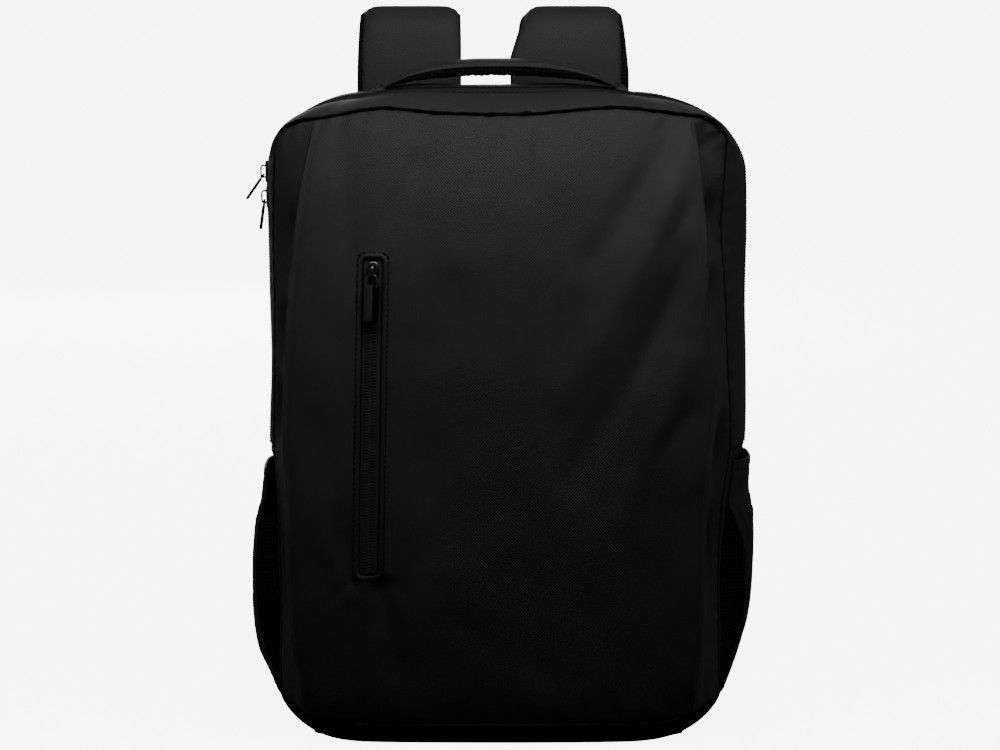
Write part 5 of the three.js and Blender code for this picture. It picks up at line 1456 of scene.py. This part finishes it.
def build_back():
    """Padded back panel of air mesh with one upright and two level sewn channels."""
    corner = 2 + np.linspace(0, 1, 14)[1:]
    sides = np.concatenate([np.linspace(0, 1, 24), 1 + np.linspace(0, 1, 26)[1:], corner])
    places = np.concatenate([sides, 3 + np.linspace(0, 1, 30)[1:-1], (7 - sides)[::-1]])
    outline = body_point(places, np.full_like(places, 3.0))
    outline[:, 2] = np.maximum(outline[:, 2], BASE_RISE + 0.3)
    spine = points(outline[:, 0] * 0.25, 0, lerp(BODY_HEIGHT / 2, outline[:, 2], 0.3))
    reach = np.hypot(outline[:, 0] - spine[:, 0], outline[:, 2] - spine[:, 2])
    edge = [(0.6, 0.0), (0.2, 1.2), (0.0, 2.8), (0.5, 4.4), (1.6, 5.6), (3.4, 6.4), (7, 6.9), (12, 7.0)]
    rings = []
    for inset, height in edge + [(12 + 4 * k, 7.0) for k in range(1, 24)]:
        share = np.minimum(inset / reach, 0.98)[:, None]
        ring = lerp(outline, spine, share)
        ring[:, 1] = REAR_DEPTH + SEAM_GAP + height * BACK_THICKNESS / 7
        rings.append(ring)
    centre = np.array([0, rings[-1][0, 1], BODY_HEIGHT / 2])
    rings += [lerp(rings[-1], centre, t) for t in np.linspace(0, 0.985, 16)[1:]]
    grid = np.stack(rings)
    x, z = grid[..., 0], grid[..., 2]
    inside = np.clip((np.arange(len(rings))[:, None] - CHANNEL_START) / CHANNEL_RINGS, 0, 1)
    channel = 3.2 * bell(x, 8) + 2.4 * bell(z - 0.42 * BODY_HEIGHT, 6) + 2.4 * bell(z - 0.7 * BODY_HEIGHT, 6)
    grid[..., 1] -= np.minimum(channel, 3.4) * inside
    made = ring_mesh("back_pad", grid)
    flat = np.stack([x.ravel(), z.ravel()], -1)
    loops = np.zeros(len(made.data.loops), int)
    made.data.loops.foreach_get("vertex_index", loops)
    made.data.uv_layers[0].data.foreach_set("uv", (flat[loops] * MM).ravel())
    dress(made, BACK_MESH, "air_mesh", "bag", "back_panel")


def top_height(x, at):
    left, right = body_point(3.0, at), body_point(4.0, at)
    place = 3 + (x - left[0]) / (right[0] - left[0])
    return body_point(place, np.full_like(np.asarray(x, float), at))[..., 2]


def build_handle():
    at = 2 + (HANDLE_SETBACK - ZIP_WIDTH) / (REAR_DEPTH - ZIP_WIDTH)
    along = np.linspace(-0.5, 0.5, 180)
    ground = top_height(along * HANDLE_SPAN, at)
    top = ground + HANDLE_RISE * HANDLE.at("top", along)
    thick = HANDLE_THICKNESS * HANDLE.at("thick", along)
    split = top - thick * 0.42
    half = HANDLE_WIDTH / 2
    cover, pad = [], []
    for x, t, s, k in zip(along * HANDLE_SPAN, top, split, thick):
        turn = np.linspace(0, math.pi, 22)
        y = -np.cos(turn) * half
        lift = np.sin(turn) ** 0.62
        upper = points(x, HANDLE_SETBACK + y, s + 0.15 + (t - s - 0.15) * lift)
        lower = points(x, HANDLE_SETBACK - y * 0.99, s + 0.15)[1:-1]
        cover.append(np.concatenate([upper, lower]))
        belly = np.sin(turn) ** 0.35
        under = points(x, HANDLE_SETBACK - y * 0.985, s - 0.15 - (s - 0.15 - (t - k)) * belly)
        above = points(x, HANDLE_SETBACK + y * 0.98, s - 0.15)[1:-1]
        lumps = 0.4 * np.sin(x / 1.1) * np.sin(2 * turn + x / 2.3) + 0.25 * np.sin(x / 0.62 + 3 * turn)
        under[:, 2] += lumps * np.sin(turn) ** 0.5 * min(1, k / 5)
        pad.append(np.concatenate([under, above]))
    made = ring_mesh("grip_cover", cover)
    dress(made, BODY_CLOTH, "body_cloth", "bag", "handle_cover")
    made = ring_mesh("grip_pad", pad)
    dress(made, AIR_MESH, "air_mesh", "bag", "handle_pad")


def strap_path(side, count):
    rows = STRAP.rows
    middle = side * STRAP_SPACING / 2 + STRAP_SHIFT
    back_face = REAR_DEPTH + BACK_THICKNESS + SEAM_GAP
    knots = points(
        middle + side * rows[:, 4] * STRAP_SPACING,
        back_face + rows[:, 1] * STRAP_FOLD,
        BODY_HEIGHT + rows[:, 2] * STRAP_RISE - rows[:, 3] * STRAP_LENGTH - STRAP_COVER,
    )
    share = np.linspace(0, 1, count)
    line = catmull(np.repeat(knots[:, None], count, 1), share)
    forward = unit(np.gradient(line, axis=0))
    across = unit(np.array([1.0, 0, 0]) - forward * forward[:, :1])
    up = unit(np.cross(across, forward))
    wide = STRAP_WIDTH * STRAP.at("wide", share * (len(rows) - 1))
    return line, across, up, wide


def sweep(line, across, up, sections):
    """Rings of points: each section is pairs of sideways and outward distances."""
    return [l + np.outer(s[:, 0], a) + np.outer(s[:, 1], u) for l, a, u, s in zip(line, across, up, sections)]


def strap_cover(half, droop_size, flare):
    """Section of a strap's cloth, with its crowned top and its edge that droops at the fold."""
    x = np.sin(np.linspace(-math.pi / 2, math.pi / 2, 25)) * half
    crown = STRAP_COVER * (1 - np.abs(x / half) ** 7) ** 0.6
    edge = 0.35 * bell(np.abs(x) - half + STRAP_HEM, 1.0)
    droop = droop_size * np.abs(x / half) ** 11
    spread = x - flare * np.clip(-x / half, 0, 1)
    top = np.stack([spread, 0.15 + crown * 0.93 - edge - droop], -1)
    base = np.stack([spread[::-1][1:-1], 0.15 - droop[::-1][1:-1]], -1)
    return np.concatenate([top, base])


def strap_pad(left, right, droop_size):
    """Section of a strap's pad, which shows past the cloth at both edges."""
    share = np.sin(np.linspace(-math.pi / 2, math.pi / 2, 25))
    x = np.where(share < 0, share * left, share * right)
    droop = droop_size * np.abs(share) ** 11
    belly = -STRAP_PAD * (1 - np.abs(share) ** 5) ** 0.5
    under = np.stack([x[::-1], np.minimum(belly[::-1], -0.15) - droop[::-1]], -1)
    roof = np.stack([x[1:-1], -0.15 - droop[1:-1]], -1)
    return np.concatenate([under, roof])


def build_straps():
    row = np.arange(STRAP_RINGS) / (STRAP_RINGS - 1) * (len(STRAP.rows) - 1)
    for side, name in ((-1, "left"), (1, "right")):
        line, across, up, wide = strap_path(side, STRAP_RINGS)
        if side < 0:
            wide = wide * STRAP_NARROWER
        droops = STRAP_DROOP * bell(row - 5, 1.6)
        low = np.clip((BODY_HEIGHT + STRAP_RISE - line[:, 2]) / 45, 0, 1) * (line[:, 1] < 85)
        rising = np.clip((480 - line[:, 2]) / 33, 0, 1)
        ahead = np.clip((STRAP_TURN - row) / 1.2, 0, 1)
        flares = np.where(side > 0, lerp(0, lerp(-5.3, 4.7, rising), ahead), 0)
        outer = lerp(2.2, 3.4, low) if side < 0 else lerp(1.2, 5.5, low)
        covers, pads = [], []
        for half, droop, flare, far in zip(wide / 2, droops, flares, outer):
            covers.append(strap_cover(half, droop, flare))
            left, right = (far, 1.0) if side < 0 else (1.0, far)
            pads.append(strap_pad(half + flare + left, half + right, droop))
        cover = ring_mesh("strap_cloth_" + name, sweep(line, across, up, covers))
        dress(cover, BODY_CLOTH, "body_cloth", "bag", "strap_cover_" + name)
        pad = ring_mesh("strap_foam_" + name, sweep(line, across, up, pads))
        dress(pad, AIR_MESH, "air_mesh", "bag", "strap_pad_" + name)
        lines = []
        behind = slice(88, 148)
        for edge in (-1, 1):
            offset = (wide / 2 - STRAP_HEM)[:, None] * edge * across
            lines.append(((line + offset + up * 2.6)[behind], up[behind]))
        dress(stitches("strap_stitches_" + name, lines), THREAD, "body_cloth", "bag")
        build_webbing(side, name, line[-1], up[-1])


def slab(line, across, up, half, thick):
    """Rings of a flat band with rounded edges."""
    turn = circle(36)
    section = np.stack([squared(np.cos(turn), 0.35) * half, squared(np.sin(turn), 0.7) * thick / 2], -1)
    return sweep(line, across, up, [section] * len(line))


def build_webbing(side, name, end, end_up):
    """Webbing from the adjuster down to the anchor sewn to the back panel, the anchor and its stitches."""
    middle = end + end_up * (STRAP_COVER - STRAP_PAD) / 2
    hang = middle + np.array([0, 0, -ADJUSTER_HEIGHT / 2 - 1])
    start = hang + np.array([0, 0, -ADJUSTER_HEIGHT / 2 - SEAM_GAP])
    back_face = REAR_DEPTH + BACK_THICKNESS + 2 * SEAM_GAP
    finish = np.array([side * ANCHOR_SPREAD, back_face + ANCHOR_THICKNESS / 2, ANCHOR_HEIGHT])
    lead = finish - start
    knots = np.array(
        [
            start,
            start + np.array([0, 0, -5.0]),
            start + lead * 0.33 + np.array([0, 3.0, -6.0]),
            start + lead * 0.7 + np.array([0, 1.0, -4.0]),
            finish,
        ]
    )
    count = 60
    line = catmull(np.repeat(knots[:, None], count, 1), np.linspace(0, 1, count))
    lean = unit(np.array([lead[0], 0, lead[2]]))
    flat_side = np.array([-lean[2], 0, lean[0]])
    forward = unit(np.gradient(line, axis=0))
    blend = np.minimum(1, 2.5 * np.linspace(0, 1, count))[:, None]
    across = square_to(lerp(np.array([1.0, 0, 0]), flat_side, blend), forward)
    up = np.cross(across, forward)
    made = ring_mesh("webbing_" + name, slab(line, across, up, WEBBING_WIDTH / 2, 1.7))
    dress(made, WEBBING, "webbing", "bag", "strap_webbing_" + name)
    near = finish + lean * 0.96
    along = np.linspace(0, ANCHOR_SIZE * 0.62, 14)
    line = near + along[:, None] * lean
    line[:, 2] = np.maximum(line[:, 2], BASE_RISE + 1)
    line[:, 1] = back_face + ANCHOR_THICKNESS / 2
    ones = np.ones((14, 1))
    rings = slab(line, flat_side * ones, np.array([0, 1.0, 0]) * ones, WEBBING_WIDTH / 2, ANCHOR_THICKNESS)
    rings = [np.maximum(ring, [-999, -999, BASE_RISE + 1]) for ring in rings]
    made = ring_mesh("anchor_" + name, rings)
    dress(made, BODY_CLOTH, "body_cloth", "bag", "strap_anchor_" + name)
    box = []
    for a, b in ((-1, -1), (1, -1), (1, 1), (-1, 1)):
        aside = flat_side * a * (WEBBING_WIDTH / 2 - 3.5)
        box.append(near + lean * (6.5 + 4 * b) + aside + np.array([0, 1.6, 0]))
    pairs = [(0, 1), (1, 2), (2, 3), (3, 0), (0, 2), (1, 3)]
    out = np.repeat([[0, 1.0, 0]], 12, 0)
    lines = [(lerp(box[i], box[j], np.linspace(0, 1, 12)[:, None]), out) for i, j in pairs]
    dress(stitches("anchor_stitches_" + name, lines, 2.2, 0.9), THREAD, "body_cloth", "bag")


def build_handle_tabs():
    """The stitched ends that hold the handle to the top."""
    at = 2 + (HANDLE_SETBACK - ZIP_WIDTH) / (REAR_DEPTH - ZIP_WIDTH)
    left, right = body_point(3.0, at), body_point(4.0, at)
    reach = HANDLE_WIDTH / 2 / (REAR_DEPTH - ZIP_WIDTH)
    for side, name in ((-1, "left"), (1, "right")):
        xs = side * (HANDLE_SPAN / 2 + SEAM_GAP + np.linspace(0, HANDLE_TAB, 14))
        places = np.sort(3 + (xs - left[0]) / (right[0] - left[0]))
        place, ats = np.meshgrid(places, np.linspace(at - reach, at + reach, 20))
        grid, normals = facing(body_point(place, ats), 2, 1)
        along, wide = arc_lengths(grid)
        edge = np.minimum(np.minimum(along, along[:, -1:] - along), np.minimum(wide, wide[-1:] - wide))
        lift = HANDLE_TAB_THICKNESS + SEAM_GAP - 1.6 * edge_fall(edge, 1.4)
        raised = grid + normals * lift[..., None]
        made = cloth_mesh("handle_tab_" + name, raised, HANDLE_TAB_THICKNESS - 1.4, normals=normals)
        dress(made, BODY_CLOTH, "body_cloth", "bag", "handle_anchor_" + name)
        inner = grid + normals * (HANDLE_TAB_THICKNESS + 0.3)
        lines = [(inner[:, k], normals[:, k]) for k in (3, 10)]
        dress(stitches("handle_stitches_" + name, lines, 1.9, 0.8, 0.28), THREAD, "body_cloth", "bag")


# First words of the pieces that reach down to the base.
LIFTED = ("bag_front", "side_cloth_", "pocket_cloth_", "pocket_net_", "base_cloth", "back_pad")
LIFTED += ("anchor_", "webbing_")


def lift_corners():
    """Lifts the bottom edges towards the sides, where the empty bag doesn't press on the floor."""
    for piece in bpy.data.objects:
        if piece.type != "MESH" or not piece.name.startswith(LIFTED):
            continue
        mesh = piece.data
        spots = np.zeros(len(mesh.vertices) * 3)
        mesh.vertices.foreach_get("co", spots)
        spots = spots.reshape(-1, 3)
        x, z = np.abs(spots[:, 0]) / MM, spots[:, 2] / MM
        lift = 12 * np.clip((x - 84) / 68, 0, 1.1) ** 2
        spots[:, 2] += MM * lift * np.clip((95 - z) / 75, 0, 1) ** 1.3
        mesh.vertices.foreach_set("co", spots.ravel())
        mesh.update()


def restyle(node, material):
    """A solid whose shape is right keeps it and gets a better material."""
    kept = frame["nodes"][node]
    kept.data.materials.clear()
    kept.data.materials.append(material)


def build_stage():
    """A white floor that curves up into a wall all round."""
    sweep_up = [(4 + 2 * math.sin(t), 2 - 2 * math.cos(t)) for t in np.linspace(0.2, math.pi / 2, 8)]
    bowl = [(0.4, 0), (1.2, 0), (2.5, 0), (4, 0)] + sweep_up + [(6, 4), (5.2, 6.5), (3, 8)]
    turn = circle(64)
    rings = [points(r * np.cos(turn), r * np.sin(turn), height - 0.0003) / MM for r, height in bowl]
    floor = ring_mesh("floor", rings)
    s = Shader("floor")
    grain = s.noise(s.coordinates("Object"), 3.0)
    white = s.ramp(grain, (0.86,) * 3, (0.9,) * 3)
    s.finish(Base_Color=white, Roughness=0.9, Emission_Color=(1, 1, 1, 1), Emission_Strength=STAGE_GLOW)
    floor.data.materials.append(s.material)
    floor.visible_diffuse = False
    floor.visible_glossy = False
    floor.visible_shadow = False
    world = bpy.data.worlds.new("studio")
    world.use_nodes = True
    sky = world.node_tree.nodes["Background"]
    sky.inputs[0].default_value = (1, 1, 1, 1)
    sky.inputs[1].default_value = WORLD_GLOW
    bpy.context.scene.world = world


def area_light(name, place, target, size, power):
    data = bpy.data.lights.new(name, "AREA")
    data.shape = "RECTANGLE"
    data.size, data.size_y = size
    data.energy = power
    made = bpy.data.objects.new(name, data)
    bpy.context.collection.objects.link(made)
    made.visible_camera = False
    made.location = place
    made.rotation_euler = (Vector(target) - Vector(place)).to_track_quat("-Z", "Y").to_euler()


def build_camera():
    rise = math.radians(CAMERA_RISE)
    target = Vector((0, 0, CAMERA_TARGET))
    data = bpy.data.cameras.new("camera")
    data.lens = CAMERA_LENS
    data.sensor_width = 36
    camera = bpy.data.objects.new("camera", data)
    bpy.context.collection.objects.link(camera)
    camera.location = target + CAMERA_DISTANCE * Vector((0, -math.cos(rise), math.sin(rise)))
    camera.rotation_euler = (target - camera.location).to_track_quat("-Z", "Y").to_euler()
    bpy.context.scene.camera = camera


build_camera()
build_stage()
area_light("key", (0.04, -0.34, 0.82), (0.0, -0.02, 0.34), (0.7, 0.3), 6.3)
area_light("fill", (-0.9, -1.9, 1.2), (0, 0, 0.24), (0.8, 0.8), 0.4)
area_light("right", (2.0, -0.2, 1.2), (0, 0, 0.22), (1.2, 1.2), 6.2)
area_light("left", (-2.0, -0.2, 1.2), (0, 0, 0.22), (1.2, 1.2), 4.8)
area_light("back", (-0.4, 2.3, 0.75), (0, 0, 0.2), (1.4, 1.2), 22)
build_pocket_zip(build_front())
build_front_seam()
build_front_pull()
for pull in SIDE_PULLS:
    build_side_pull(*pull)
build_gussets()
build_main_zip()
build_sides()
build_pockets()
build_base()
build_back()
build_handle()
build_handle_tabs()
build_straps()
lift_corners()
for node in ("main_slider_upper", "main_slider_lower"):
    restyle(node, BLACK_METAL)
for node in ("strap_adjuster_left", "strap_adjuster_right"):
    restyle(node, PLASTIC)

bpy.context.view_layer.update()
